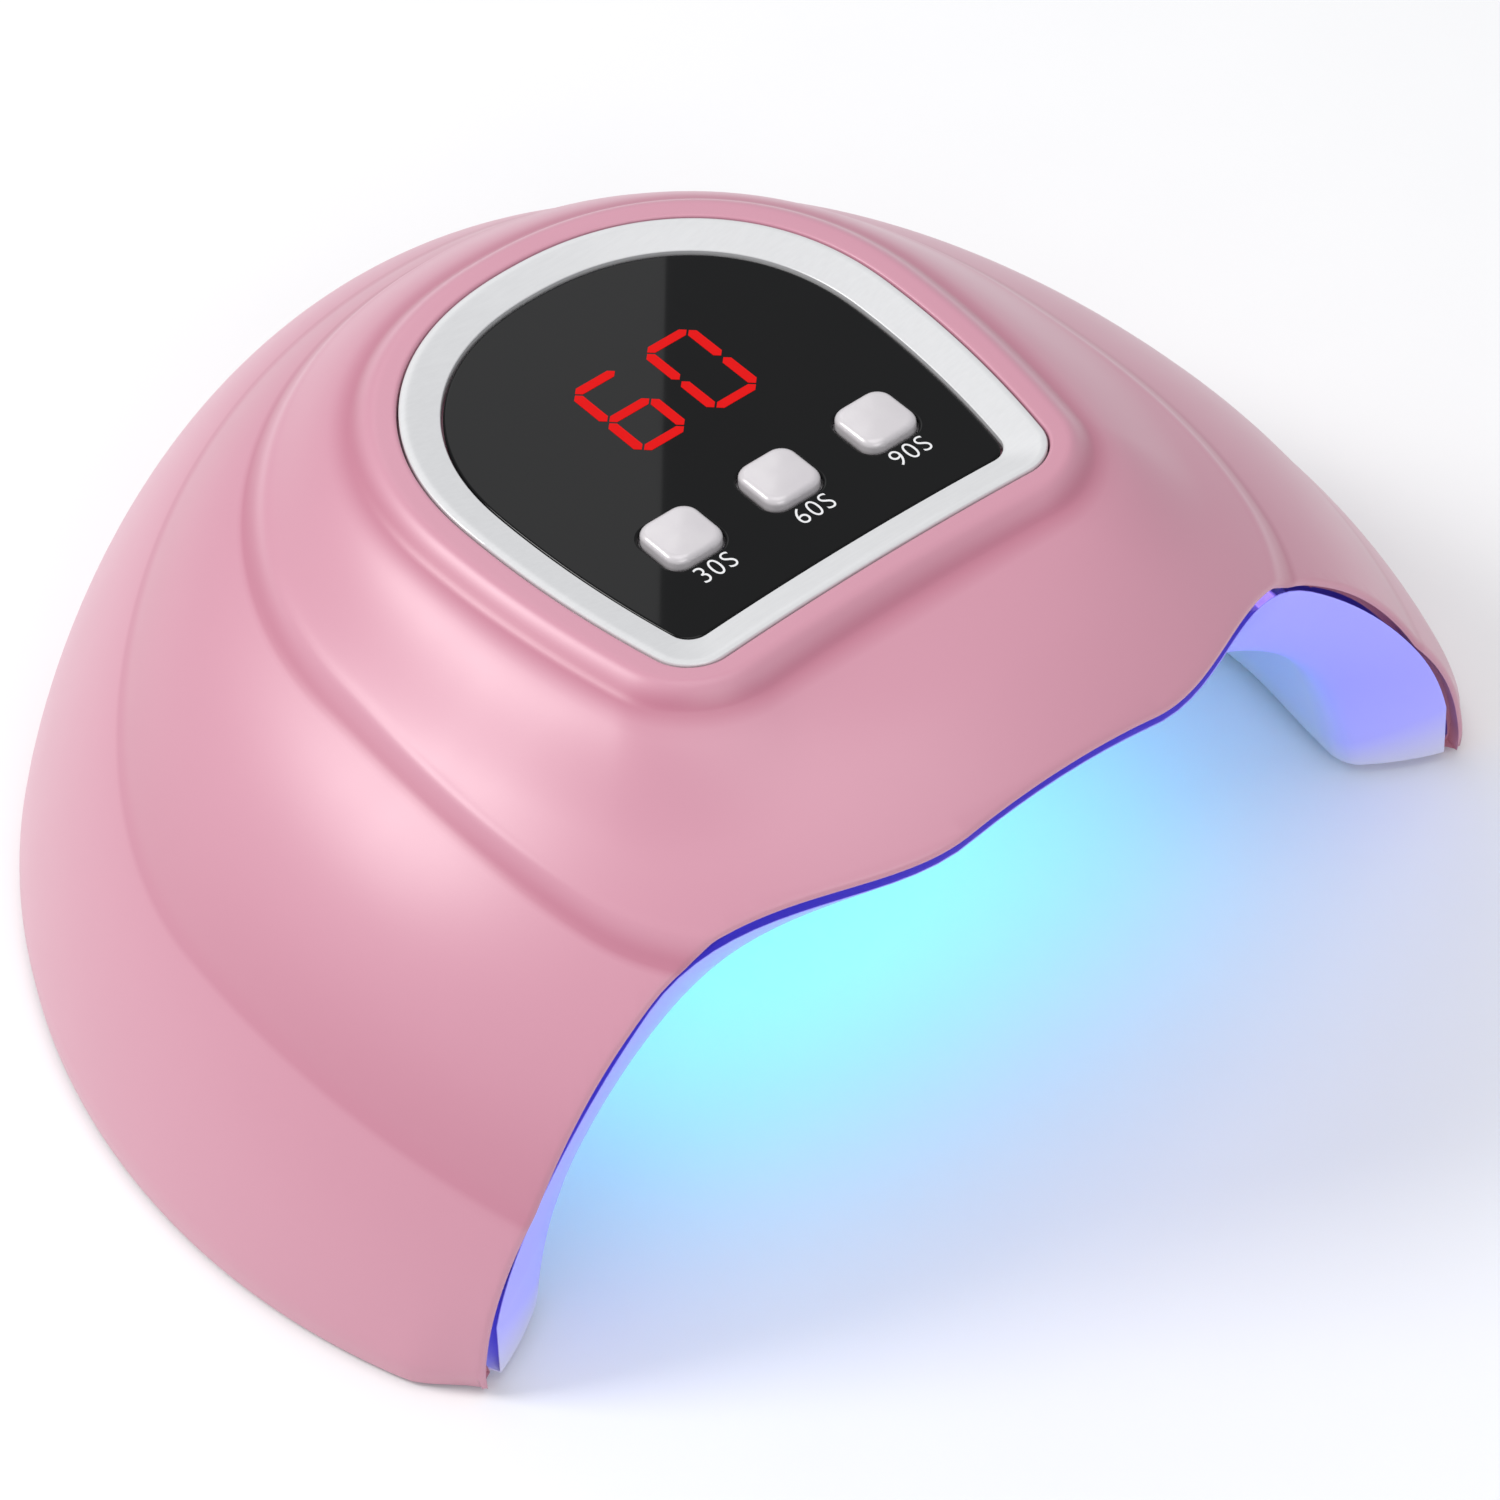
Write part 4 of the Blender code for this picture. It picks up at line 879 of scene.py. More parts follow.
def flange_edge(x, y, dx, dy):
    """Where a ray in plan meets the liner's outer edge, just inside the cover."""
    low, high = 0.0, 2 * HALF_WIDTH
    for _ in range(HALVINGS):
        middle = (low + high) / 2
        px, py = np.float64(x + dx * middle), np.float64(y + dy * middle)
        tall = dome_height(px, py) > FLANGE_Z - FLOOR_EDGE + LINER_WALL
        low, high = (middle, high) if plan_fraction(px, py) < 1.0 and tall else (low, middle)
    px, py = np.float64(x + dx * low), np.float64(y + dy * low)
    inward = dome_normal(px, py)[:2]
    inward = inward / np.linalg.norm(inward) * (WALL + FLANGE_CLEAR)
    return np.array([px - inward[0], py - inward[1], FLANGE_Z])


def tucked_here(place):
    """Turn a liner point in with the cover beside it."""
    return tucked(place, place[1] - brim_y(place[0]))


def lip_point(degrees):
    """A point of the flared lip on the right side, just inside the cover's front edge."""
    reach = float(tunnel_half_width(LEG_Y)) + LEG_WIDTH
    x = np.float64(reach * math.cos(math.radians(degrees)) ** LIP_SPREAD)
    y = np.float64(brim_y(x))
    ground = flange_edge(0.0, y, 1.0, 0.0)
    if degrees == 0.0:
        place = np.array([ground[0], y + LIP_RECESS, FLANGE_Z])
    else:
        x = min(x, ground[0])
        for _ in range(4):
            place = np.array([x, y, FLOOR_EDGE + dome_height(x, y)])
            place = place - dome_normal(x, y) * LIP_DEPTH
            y = y + float(brim_y(place[0])) + LIP_RECESS - place[1]
        place[2] = max(place[2], FLANGE_Z)
    return tucked_here(place) if place[0] > BRIM_END else place


print("tunnel", round(2 * TUNNEL_WIDE / MM), "mm wide,", round(ROOF_HEIGHT / MM), "mm high")

# %% Rows of the reflector
EDGE_SOFT = 3.2 * MM
FLARE_END, FLARE_BOW = 0.86, 0.34


def right_rows():
    """Rows from the lip on the right side back to where the tunnel starts to close."""
    heights = 90.0 * np.arange(ARCH_ROWS + 1) / ARCH_ROWS
    start = LEG_Y + FLARE_DEPTH
    lip = np.array([lip_point(degrees) for degrees in heights])
    out, up = arch(heights, float(tunnel_half_width(start)))
    first = np.stack([out, np.full_like(out, start), up], -1)
    deeper = first + np.array([0.0, EDGE_SOFT, 0.0])
    rows = []
    for share in np.linspace(0.0, FLARE_END, FLARE_ROWS):
        row = lip + (first - lip) * share
        row[:, 1] -= FLARE_DEPTH * FLARE_BOW * share * (1.0 - share)
        rows.append(row)
    last = rows[-1]
    for share in np.linspace(0.2, 1.0, 5):
        rows.append(last * (1 - share) ** 2 + first * 2 * share * (1 - share) + deeper * share ** 2)
    for y in np.linspace(start + EDGE_SOFT, REAR_Y, TUNNEL_ROWS)[1:]:
        out, up = arch(heights, float(tunnel_half_width(y)))
        rows.append(np.stack([out, np.full_like(out, y), up], -1))
    with_edge = [np.concatenate([lip[:1], lip])]
    for row in rows[1:]:
        row[0, 2] = FLANGE_Z
        edge = tucked_here(flange_edge(row[0, 0], row[0, 1], 1.0, 0.0))
        with_edge.append(np.concatenate([[edge], row]))
    return with_edge


def rear_rows():
    """Rows round the far end, from left to right."""
    heights = 90.0 * np.arange(ARCH_ROWS + 1) / ARCH_ROWS
    out, up = arch(heights, TUNNEL_WIDE)
    rows = []
    for step in range(1, REAR_ROWS):
        turn = -math.pi / 2 + math.pi * step / REAR_ROWS
        row = np.stack([out * math.sin(turn), REAR_Y + out * math.cos(turn), up], -1)
        edge = flange_edge(row[0, 0], row[0, 1], math.sin(turn), math.cos(turn))
        rows.append(np.concatenate([[edge], row]))
    return rows


print("flare", FLARE_ROWS, "rows, tunnel", TUNNEL_ROWS, "rows, far end", REAR_ROWS, "rows")

# %% Reflector with its wall
right = right_rows()
left = [row * np.array([-1.0, 1.0, 1.0]) for row in right]
liner_mesh = grid_mesh("reflector_skin", np.array(left + rear_rows() + right[::-1]))
weld_skin(liner_mesh, 0.02 * MM, upward=False)
liner = piece_of("reflector_skin", liner_mesh, liner_finish)
taper = liner.vertex_groups.new(name="wall")
for vert in liner_mesh.vertices:
    behind = vert.co.y - float(brim_y(vert.co.x)) - LIP_RECESS
    taper.add([vert.index], float(smooth(0.0, LIP_TAPER, behind)), "REPLACE")
thicken(liner, LINER_WALL, "wall")
keep_result(liner, 50.0)
report(liner)

# %% [markdown]
# Every bead looks out through its own hole. A round bead's own points can't say which way is
# its axis when it is about as long as it is wide. It stands square on its board, though, so its
# direction is the thin way of that board. The singular value decomposition of the board's
# points gives the three ways in order of length.

# %% Where the beads are
BEAD_RADIUS, BEAD_DOME = 3.3 * MM, 2.2 * MM


def nodes_named(start):
    """The frame's nodes whose names start so, in order."""
    return sorted(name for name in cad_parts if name.startswith(start))


BEAD_NODES = nodes_named("led_bead")


def points_of(name):
    """The corners of a node's mesh, each once, and their middle."""
    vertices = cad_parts[name].data.vertices
    corners = [tuple(round(part, 7) for part in vert.co) for vert in vertices]
    points = np.array(sorted(set(corners)))
    return points, points.mean(axis=0)


def board_ways(name):
    """A board's middle, its three ways with the thin one last, and its half sizes."""
    points, middle = points_of(name)
    _, _, ways = np.linalg.svd(points - middle)
    return middle, ways, np.abs((points - middle) @ ways.T).max(axis=0)


boards = [board_ways(name) for name in nodes_named("led_board")]


def bead_place(name):
    """The middle of a bead's flat back, and its direction towards the board."""
    points, middle = points_of(name)

    def distance(board):
        centre, ways, half = board
        return np.linalg.norm(np.maximum(np.abs(ways @ (middle - centre)) - half, 0.0))

    centre, ways, _half = min(boards, key=distance)
    axis = ways[2] * np.sign(ways[2] @ (centre - middle))
    return Vector(middle + axis * ((points - middle) @ axis).max()), Vector(axis)


bead_places = {name: bead_place(name) for name in BEAD_NODES}
for name, (back, axis) in list(bead_places.items())[:2]:
    print(name, [round(part / MM, 1) for part in back], [round(part, 2) for part in axis])

# %% Holes for the beads, the sensor and the case screws
SCREW_NODES = nodes_named("case_screw")
BEAD_HOLE_DEPTH, BEAD_HOLE_FROM = 9.5 * MM, 9 * MM
SCREW_HOLE, SCREW_HOLE_DEPTH = 1.7 * MM, 6 * MM
SENSOR_ROOM = Vector((0.6, 0.6, 8.0)) * MM


def middle_of(name, height):
    """The middle of a node in plan, at a height."""
    low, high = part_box(name)
    return ((low.x + high.x) / 2, (low.y + high.y) / 2, height)


holes = []
for back, axis in bead_places.values():
    turn = axis.to_track_quat("Z", "Y").to_matrix().to_4x4()
    start = Matrix.Translation(back - axis * BEAD_HOLE_FROM) @ turn
    holes.append(cylinder(BEAD_RADIUS + GAP, BEAD_HOLE_DEPTH, start))
for name in SCREW_NODES:
    start = Matrix.Translation(middle_of(name, FLANGE_Z - MM))
    holes.append(cylinder(SCREW_HOLE, SCREW_HOLE_DEPTH, start))
sensor_low, sensor_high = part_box("hand_sensor")
holes.append(block(sensor_high - sensor_low + SENSOR_ROOM,
                   Matrix.Translation((sensor_low + sensor_high) / 2)))
cut(liner, holes)
report(liner)

# %% How much light reaches each point of the reflector
FLARE_LIGHT, TUNNEL_LIGHT, BEAD_LIGHT = 1.0, 0.14, 0.18
FLARE_FADE = (FLARE_DEPTH * 0.75, FLARE_DEPTH * 1.7)
BEAD_REACH, BEAD_FRONT = 11 * MM, 6 * MM
FLOOR_SHARE, FLOOR_FADE = 0.72, 24 * MM
UNDER_SHARE, EDGE_SHARE, MOST_LIGHT = 0.25, 0.9, 1.3


def light_on(mesh):
    """Store each point's share of the beads' light as an attribute."""
    places = np.array([vert.co for vert in mesh.vertices])
    behind = places[:, 1] - brim_y(places[:, 0])
    flare = 1.0 - smooth(*FLARE_FADE, places[:, 1] - LEG_Y)
    near = np.zeros(len(places))
    for back, axis in bead_places.values():
        front = np.array(back - axis * BEAD_FRONT)
        distance = np.linalg.norm(places - front, axis=1)
        near += 1.0 / (1.0 + (distance / BEAD_REACH) ** 2)
    low = FLOOR_SHARE + (1.0 - FLOOR_SHARE) * smooth(0.0, FLOOR_FADE, places[:, 2])
    under = smooth(0.0, 0.6 * MM, places[:, 2] - FLANGE_Z - 0.05 * MM)
    # Painted glow: brightest on the flare and near the beads, fainter in the tunnel, low down,
    # under the flange and at the lip's edge.
    lit = (TUNNEL_LIGHT + (FLARE_LIGHT - TUNNEL_LIGHT) * flare) * low
    lit = np.clip(lit + BEAD_LIGHT * near * (1 - flare), 0.0, MOST_LIGHT)
    lit *= UNDER_SHARE + (1.0 - UNDER_SHARE) * under
    lit *= EDGE_SHARE + (1.0 - EDGE_SHARE) * np.clip(behind / MM, 0, 1)
    store(mesh, "lit", lit)


light_on(liner.data)
print("light shares stored on", len(liner.data.vertices), "points")

# %% [markdown]
# ## Ring and window
#
# The ring is a plated moulding: upright outside, then a band that slopes down to the window.
# A bevelled curve could follow the outline, but it would bend the section in the corners, so
# the section is set out as rows round the panel. The window is a flat plate with a softly
# rounded edge and a square hole for each button. A flat curve with a bevel gives it directly,
# with no holes to cut. Its level faces are shaded flat, so that its mirror image stays straight.

# %% Ring
RING_TURNS = 480
FUNNEL, RING_FILLET = 1.2 * MM, 0.35 * MM
# Where the level band turns down and where it turns in, as (distance inward, drop) in mm.
TURN_DOWN = ((0.9, 0.0), (1.15, 0.03), (1.5, 0.12))
TURN_IN = ((0.3, -0.03), (0.1, 0.02), (0.0, 0.12))


def ring_section():
    """The ring's section as (distance from the outline, height)."""
    low, high = ring_low.z, ring_high.z
    section = [(0.0, low), (0.0, high - RING_FILLET)]
    for degrees in (30, 60, 90):
        inward, down = rounded(RING_FILLET, degrees)
        section.append((-inward, high - down))
    section += [(-inward * MM, high - drop * MM) for inward, drop in TURN_DOWN]
    section += [(-TRIM_BAND + left * MM, high - FUNNEL - drop * MM) for left, drop in TURN_IN]
    return section + [(-TRIM_BAND, low), (0.0, low)]


rows = []
for grow, height in ring_section():
    x, y = outline(inside_panel, turns(RING_TURNS), grow)
    rows.append(np.stack([x, y, np.full_like(x, height)], -1))
ring_mesh = grid_mesh("silver_ring", np.array(rows), closed=True)
weld_skin(ring_mesh, 0.002 * MM)
ring = keep_result(piece_of("silver_ring", ring_mesh, ring_finish), 30.0)
report(ring)

# %% Window
BUTTON_SIZE, BUTTON_CORNER, FIT = 9.2 * MM, 2.4 * MM, 0.3 * MM
WINDOW_ROUND = 0.45 * MM
LEVEL = 0.99
BUTTON_WORDS = ("30s", "60s", "90s")


def rounded_square(size, corner, centre=(0.0, 0.0), steps=8):
    """Outline of a square with rounded corners."""
    loop, reach = [], size / 2 - corner
    for quarter in range(4):
        for step in range(steps + 1):
            turn = math.pi / 2 * (quarter + step / steps)
            cx = reach * (1 if quarter in (0, 3) else -1)
            cy = reach * (1 if quarter in (0, 1) else -1)
            loop.append((centre[0] + cx + corner * math.cos(turn),
                         centre[1] + cy + corner * math.sin(turn)))
    return loop


def button_centre(word):
    """The middle of a button in plan."""
    return middle_of(f"button_{word}", 0.0)[:2]


def flatten(mesh):
    """Shade level faces flat, so that rounded edges beside them cannot bend their reflections."""
    level = [abs(face.normal.z) > LEVEL for face in mesh.polygons]
    mesh.attributes.new("sharp_face", "BOOLEAN", "FACE").data.foreach_set("value", level)


def plate(name, loops, low, high, rounding, finish):
    """A flat plate with rounded edges; loops after the first are holes."""
    curve = bpy.data.curves.new(name, "CURVE")
    curve.dimensions = "2D"
    curve.fill_mode = "BOTH"
    curve.extrude = (high - low) / 2 - rounding
    curve.bevel_depth = rounding
    curve.bevel_resolution = 3
    curve.offset = -rounding
    for loop in loops:
        spline = curve.splines.new("POLY")
        spline.points.add(len(loop) - 1)
        for point, (x, y) in zip(spline.points, loop):
            point.co = (x, y, 0.0, 1.0)
        spline.use_cyclic_u = True
    drawn = in_scene(name, curve)
    drawn.location.z = (low + high) / 2
    made = keep_result(piece_of(name, from_drawing(drawn), finish), 40.0)
    weld_closed(made.data)
    flatten(made.data)
    return made


edge_x, edge_y = outline(inside_panel, turns(RING_TURNS), -TRIM_BAND - GAP)
loops = [list(zip(edge_x, edge_y))]
for word in BUTTON_WORDS:
    loops.append(rounded_square(BUTTON_SIZE + 2 * FIT, BUTTON_CORNER + FIT, button_centre(word)))
window = plate("timer_window", loops, window_low.z, window_high.z, WINDOW_ROUND, window_finish)
report(window)

# %% [markdown]
# ## Buttons
#
# Each cap is a small square cushion: straight sides with rounded corners, a soft shoulder and a
# slightly crowned face. A bevelled block has no crown and no skirt, so the cap is built as
# stacked outlines instead. It keeps the skirt that holds it under the window, and rides on its
# own body, because each button moves by itself.

# %% Button caps
CAP_SHOULDER, CAP_CROWN = 1.0 * MM, 0.22 * MM
SKIRT, SKIRT_THICK, STEM, STEM_END = BUTTON_SIZE + 1.8 * MM, MM, 3.2 * MM, 0.15 * MM
SHOULDER_STEPS, CORNER_SHARE = 8, 0.35
FACE_SHARES, FACE_CORNER, FACE_CORNER_LEAST = (0.8, 0.6, 0.4, 0.2, 0.05), 0.26, 0.1 * MM


def cap_layers(low, top, skirt_top):
    """Layers of a cap as (size, corner, height)."""
    skirt_low = skirt_top - SKIRT_THICK
    layers = [(STEM * 0.9, STEM * 0.44, low), (STEM, STEM * 0.47, low + STEM_END),
              (STEM, STEM * 0.47, skirt_low), (SKIRT, BUTTON_CORNER, skirt_low),
              (SKIRT, BUTTON_CORNER, skirt_top),
              (BUTTON_SIZE, BUTTON_CORNER, skirt_top + 0.01 * MM),
              (BUTTON_SIZE, BUTTON_CORNER, top - CAP_CROWN - CAP_SHOULDER)]
    for step in range(1, SHOULDER_STEPS + 1):
        inward, down = rounded(CAP_SHOULDER, 90.0 * step / SHOULDER_STEPS)
        layers.append((BUTTON_SIZE - 2 * inward, BUTTON_CORNER - CORNER_SHARE * inward,
                       top - CAP_CROWN - down))
    for share in FACE_SHARES:
        flat = (BUTTON_SIZE - 2 * CAP_SHOULDER) * share
        corner = max(flat * FACE_CORNER, FACE_CORNER_LEAST)
        layers.append((flat, corner, top - CAP_CROWN * share * share))
    return layers


def button_cap(word):
    """A cap with its skirt and stem, in its place."""
    low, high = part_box(f"button_{word}")
    rows = [[(x, y, height) for x, y in rounded_square(size, corner, button_centre(word))]
            for size, corner, height in cap_layers(low.z, high.z, window_low.z - GAP)]
    mesh = grid_mesh(f"button_cap_{word}", np.array(rows), closed=True)
    weld_closed(mesh, 0.001 * MM, fill=True)
    return keep_result(piece_of(f"button_cap_{word}", mesh, button_finish), 40.0)


caps = {word: button_cap(word) for word in BUTTON_WORDS}
for cap in caps.values():
    report(cap)

# %% [markdown]
# ## Digits and legends
#
# The timer shows two seven-bar digits through the window. They could be typed in a display
# typeface, but all bars are the same small six-sided plate, so Geometry Nodes set one on each
# point of a tiny mesh that says where a bar is and how it is turned. The legends are plain
# numbers with an S for seconds, printed on the window. Those are real text, made a mesh before
# it is placed.

# %% A tree that sets one piece on every point


def setting_tree(name, piece_maker, sizes):
    """Geometry Nodes: make a piece from named sizes, and set it on each point, turned."""
    tree = bpy.data.node_groups.new(name, "GeometryNodeTree")
    face = tree.interface
    face.new_socket("Geometry", in_out="INPUT", socket_type="NodeSocketGeometry")
    face.new_socket("Finish", in_out="INPUT", socket_type="NodeSocketMaterial")
    for label in sizes:
        face.new_socket(label, in_out="INPUT", socket_type="NodeSocketFloat")
    face.new_socket("Geometry", in_out="OUTPUT", socket_type="NodeSocketGeometry")
    nodes = Nodes(tree)
    inputs = nodes.node("NodeGroupInput").outputs
    given = {label: Value(nodes, inputs[label]) for label in ("Geometry", "Finish", *sizes)}
    turn = nodes.out("GeometryNodeInputNamedAttribute", "Attribute",
                     {"data_type": "FLOAT_VECTOR"}, Name="turn")
    turned_by = nodes.out("FunctionNodeEulerToRotation", 0, None, turn)
    setter = nodes.out("GeometryNodeInstanceOnPoints", 0, None, Points=given["Geometry"],
                       Rotation=turned_by, Instance=piece_maker(nodes, given))
    real = nodes.out("GeometryNodeRealizeInstances", 0, None, setter)
    paint = nodes.out("GeometryNodeSetMaterial", 0, None, Geometry=real, Material=given["Finish"])
    nodes.node("NodeGroupOutput", None, paint)
    return tree


def set_out(name, tree, places, finish, amounts):
    """Run a setting tree over places, a list of (point, Euler turn), as one plain piece."""
    mesh = bpy.data.meshes.new(name)
    mesh.from_pydata([tuple(point) for point, _turn in places], [], [])
    attribute = mesh.attributes.new("turn", "FLOAT_VECTOR", "POINT")
    attribute.data.foreach_set("vector", [part for _point, turn in places for part in turn])
    piece = piece_of(name, mesh, finish)
    step = piece.modifiers.new("set out", "NODES")
    step.node_group = tree
    given = {"Finish": finish, **amounts}
    for socket in tree.interface.items_tree:
        if socket.in_out == "INPUT" and socket.name in given:
            step[socket.identifier] = given[socket.name]
    keep_result(piece)
    dress(piece.data, finish)
    report(piece)
    return piece


print("setting tree ready")

# %% Bars of the digits
BAR_LENGTH, BAR_WIDTH, BAR_THICK = 6.9 * MM, 1.5 * MM, 0.05 * MM
DIGIT_WIDE, DIGIT_TALL = 7.3 * MM, 14.8 * MM
DIGIT_CENTRES = ((-5.05 * MM, LEG_Y + 68.3 * MM), (7.5 * MM, LEG_Y + 68.3 * MM))
BARS = {"top": (0, 1, 0), "middle": (0, 0, 0), "bottom": (0, -1, 0), "upper_left": (-1, 0.5, 1),
        "upper_right": (1, 0.5, 1), "lower_left": (-1, -0.5, 1), "lower_right": (1, -0.5, 1)}
SHOWN = ({"top", "upper_left", "middle", "lower_left", "lower_right", "bottom"},
         {"top", "upper_left", "upper_right", "lower_left", "lower_right", "bottom"})


def bar_piece(nodes, given):
    """A bar: a six-sided prism whose ends are drawn out by moving its end corners."""
    prism = nodes.out("GeometryNodeMeshCylinder", "Mesh", None, Vertices=6, Radius=1.0,
                      Depth=given["Thickness"])
    here = nodes.out("GeometryNodeInputPosition", 0)
    x, y, z = (Value(nodes, part) for part in
               nodes.node("ShaderNodeSeparateXYZ", None, here).outputs)
    half_wide = given["Width"] * 0.5
    straight = given["Length"] * 0.5 - half_wide
    tip = x.math("ABSOLUTE").math("GREATER_THAN", 0.75)
    reach, side = straight + tip * half_wide, half_wide * (1.0 - tip)
    corner = nodes.out("ShaderNodeCombineXYZ", 0, None, x.math("SIGN") * reach,
                       y.math("SIGN") * side, z)
    return nodes.out("GeometryNodeSetPosition", 0, None, Geometry=prism, Position=corner)


places = []
for (cx, cy), shown in zip(DIGIT_CENTRES, SHOWN):
    for bar in sorted(shown):
        sx, sy, upright = BARS[bar]
        point = (cx + sx * DIGIT_WIDE / 2, cy + sy * DIGIT_TALL / 2, window_high.z + BAR_THICK / 2)
        places.append((point, (0.0, 0.0, upright * math.pi / 2)))
bar_tree = setting_tree("digit_bars", bar_piece, ("Length", "Width", "Thickness"))
digits = set_out("timer_digits", bar_tree, places, digit_finish,
                 {"Length": BAR_LENGTH, "Width": BAR_WIDTH, "Thickness": BAR_THICK})

# %% Legends
LEGEND_SIZE, LEGEND_FROM_BUTTON = 4.6 * MM, 7.3 * MM
LEGEND_HALF_THICK, LEGEND_THINNER = 0.02 * MM, 0.05 * MM
LEGEND_SPACING, LEGEND_NARROW = 1.12, 0.86


def legend(word):
    """A number printed on the window, in front of its button."""
    letters = bpy.data.curves.new(f"legend_{word}", "FONT")
    letters.body = word.upper()
    letters.size = LEGEND_SIZE
    letters.align_x = "CENTER"
    letters.align_y = "CENTER"
    letters.extrude = LEGEND_HALF_THICK
    letters.offset = -LEGEND_THINNER
    letters.space_character = LEGEND_SPACING
    drawn = in_scene(f"legend_{word}", letters)
    x, y = button_centre(word)
    drawn.location = (x, y - LEGEND_FROM_BUTTON, window_high.z + LEGEND_HALF_THICK)
    drawn.scale = (LEGEND_NARROW, 1.0, 1.0)
    made = piece_of(f"legend_{word}", from_drawing(drawn), legend_finish)
    weld_closed(made.data)
    report(made)
    return made


legends = [legend(word) for word in BUTTON_WORDS]

# %% [markdown]
# ## Beads, feet and screws
#
# The beads repeat along their boards, so the same tree sets a lens on each. A lens is a short
# cylinder that ends in a low dome, closed at its back. Eighteen copies by hand would each have
# to be turned to their board, and the tree does that from one attribute. The feet and the case
# screws have profiles that are easier to turn than to wire, so they are turned once and set on
# their places in the same way.

# %% Bead lenses
LENS_SIDES, LENS_RINGS, LENS_WELD = 28, 16, 0.01 * MM


def height_in(nodes, kind):
    """The upright part of a position or a normal."""
    return nodes.out("ShaderNodeSeparateXYZ", "Z", None, nodes.out(kind, 0))


def lens_piece(nodes, given):
    """A lens: a cylinder open at its front, and half of a flattened ball over the opening."""
    tube = nodes.out("GeometryNodeMeshCylinder", "Mesh", None, Vertices=LENS_SIDES,
                     Radius=given["Radius"], Depth=given["Length"])
    front = height_in(nodes, "GeometryNodeInputNormal").math("LESS_THAN", -0.9)
    open_tube = nodes.out("GeometryNodeDeleteGeometry", 0, {"domain": "FACE"}, Geometry=tube,
                          Selection=front)
    ball = nodes.out("GeometryNodeMeshUVSphere", "Mesh", None, Segments=LENS_SIDES,
                     Rings=LENS_RINGS, Radius=given["Radius"])
    above = height_in(nodes, "GeometryNodeInputPosition").math("GREATER_THAN", LENS_WELD)
    half = nodes.out("GeometryNodeDeleteGeometry", 0, None, Geometry=ball, Selection=above)
    down = nodes.out("ShaderNodeCombineXYZ", 0, None, Z=given["Length"] * -0.5)
    flat = nodes.out("ShaderNodeCombineXYZ", 0, None, 1.0, 1.0, given["Flatness"])
    dome = nodes.out("GeometryNodeTransform", 0, None, Geometry=half, Translation=down, Scale=flat)
    joined = nodes.node("GeometryNodeJoinGeometry", None, open_tube)
    nodes.plug(joined.inputs[0], dome)
    return nodes.out("GeometryNodeMergeByDistance", 0, None,
                     Geometry=Value(nodes, joined.outputs[0]), Distance=LENS_WELD)


LENS_LENGTH = 3.6 * MM
places = []
for back, axis in bead_places.values():
    turn = axis.to_track_quat("Z", "Y").to_euler()
    places.append((back - axis * LENS_LENGTH / 2, tuple(turn)))
lens_tree = setting_tree("bead_lenses", lens_piece, ("Radius", "Length", "Flatness"))
lenses = set_out("bead_lenses", lens_tree, places, lens_finish,
                 {"Radius": BEAD_RADIUS, "Length": LENS_LENGTH,
                  "Flatness": BEAD_DOME / BEAD_RADIUS})

# %% Feet and case screws, turned once and set out


def copied_piece(original):
    """A piece maker that sets out copies of a piece made beforehand."""
    def make(nodes, given):
        source = nodes.out("GeometryNodeObjectInfo", "Geometry", None, Object=original)
        scale = nodes.out("ShaderNodeCombineXYZ", 0, None, *[given["Size"]] * 3)
        return nodes.out("GeometryNodeTransform", 0, None, Geometry=source, Scale=scale)
    return make


def in_mm(points):
    """A profile written in millimetres."""
    return [(radius * MM, height * MM) for radius, height in points]


FOOT_RIM = 0.5 * MM
FOOT_DISH = ((1.2, 0.0), (1.9, 0.15))


def foot_profile(radius, height):
    """A rubber foot with a rounded rim and a shallow dished face."""
    profile = [(0.0, height), (radius, height), (radius, FOOT_RIM)]
    for degrees in (22.5, 45.0, 67.5, 90.0):
        inward, down = rounded(FOOT_RIM, degrees)
        profile.append((radius - inward, down))
    profile += [(radius - inward, up) for inward, up in in_mm(FOOT_DISH)]
    return profile + [(0.0, 0.2 * MM)]


FOOT_NODES = nodes_named("rubber_foot")
foot_low, foot_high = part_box(FOOT_NODES[0])
foot = turned("one_foot", foot_profile((foot_high.x - foot_low.x) / 2, foot_high.z), rubber_finish)
foot_tree = setting_tree("feet", copied_piece(foot), ("Size",))
places = [(middle_of(name, 0.0), (0, 0, 0)) for name in FOOT_NODES]
feet = set_out("rubber_feet", foot_tree, places, rubber_finish, {"Size": 1.0})
bpy.data.objects.remove(foot)

head_top = FLANGE_Z - GAP
tip_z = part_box(SCREW_NODES[0])[1].z - head_top
profile = [(0.0, tip_z), (1.1 * MM, tip_z), (1.4 * MM, tip_z - 0.8 * MM)]
profile += in_mm([(1.4, 0.0), (2.8, 0.0), (2.8, -0.45), (2.6, -0.8), (2.1, -1.1), (1.4, -1.2),
                  (0.0, -1.2)])
screw = turned("one_screw", profile, steel_finish, steps=32)
CROSS_BAR, CROSS_DEPTH = (3.0 * MM, 0.6 * MM, 1.4 * MM), 1.2 * MM
for quarter in (0.0, math.pi / 2):
    place = Matrix.Rotation(quarter, 4, "Z") @ Matrix.Translation((0, 0, -CROSS_DEPTH))
    cut(screw, [block(CROSS_BAR, place)])
screw_tree = setting_tree("case_screws", copied_piece(screw), ("Size",))
SCREW_TURNS = (0.3, 1.1, 0.7, 1.4)
places = [(middle_of(name, head_top), (0, 0, turn)) for name, turn in zip(SCREW_NODES, SCREW_TURNS)]
screws = set_out("case_screws", screw_tree, places, steel_finish, {"Size": 1.0})
bpy.data.objects.remove(screw)

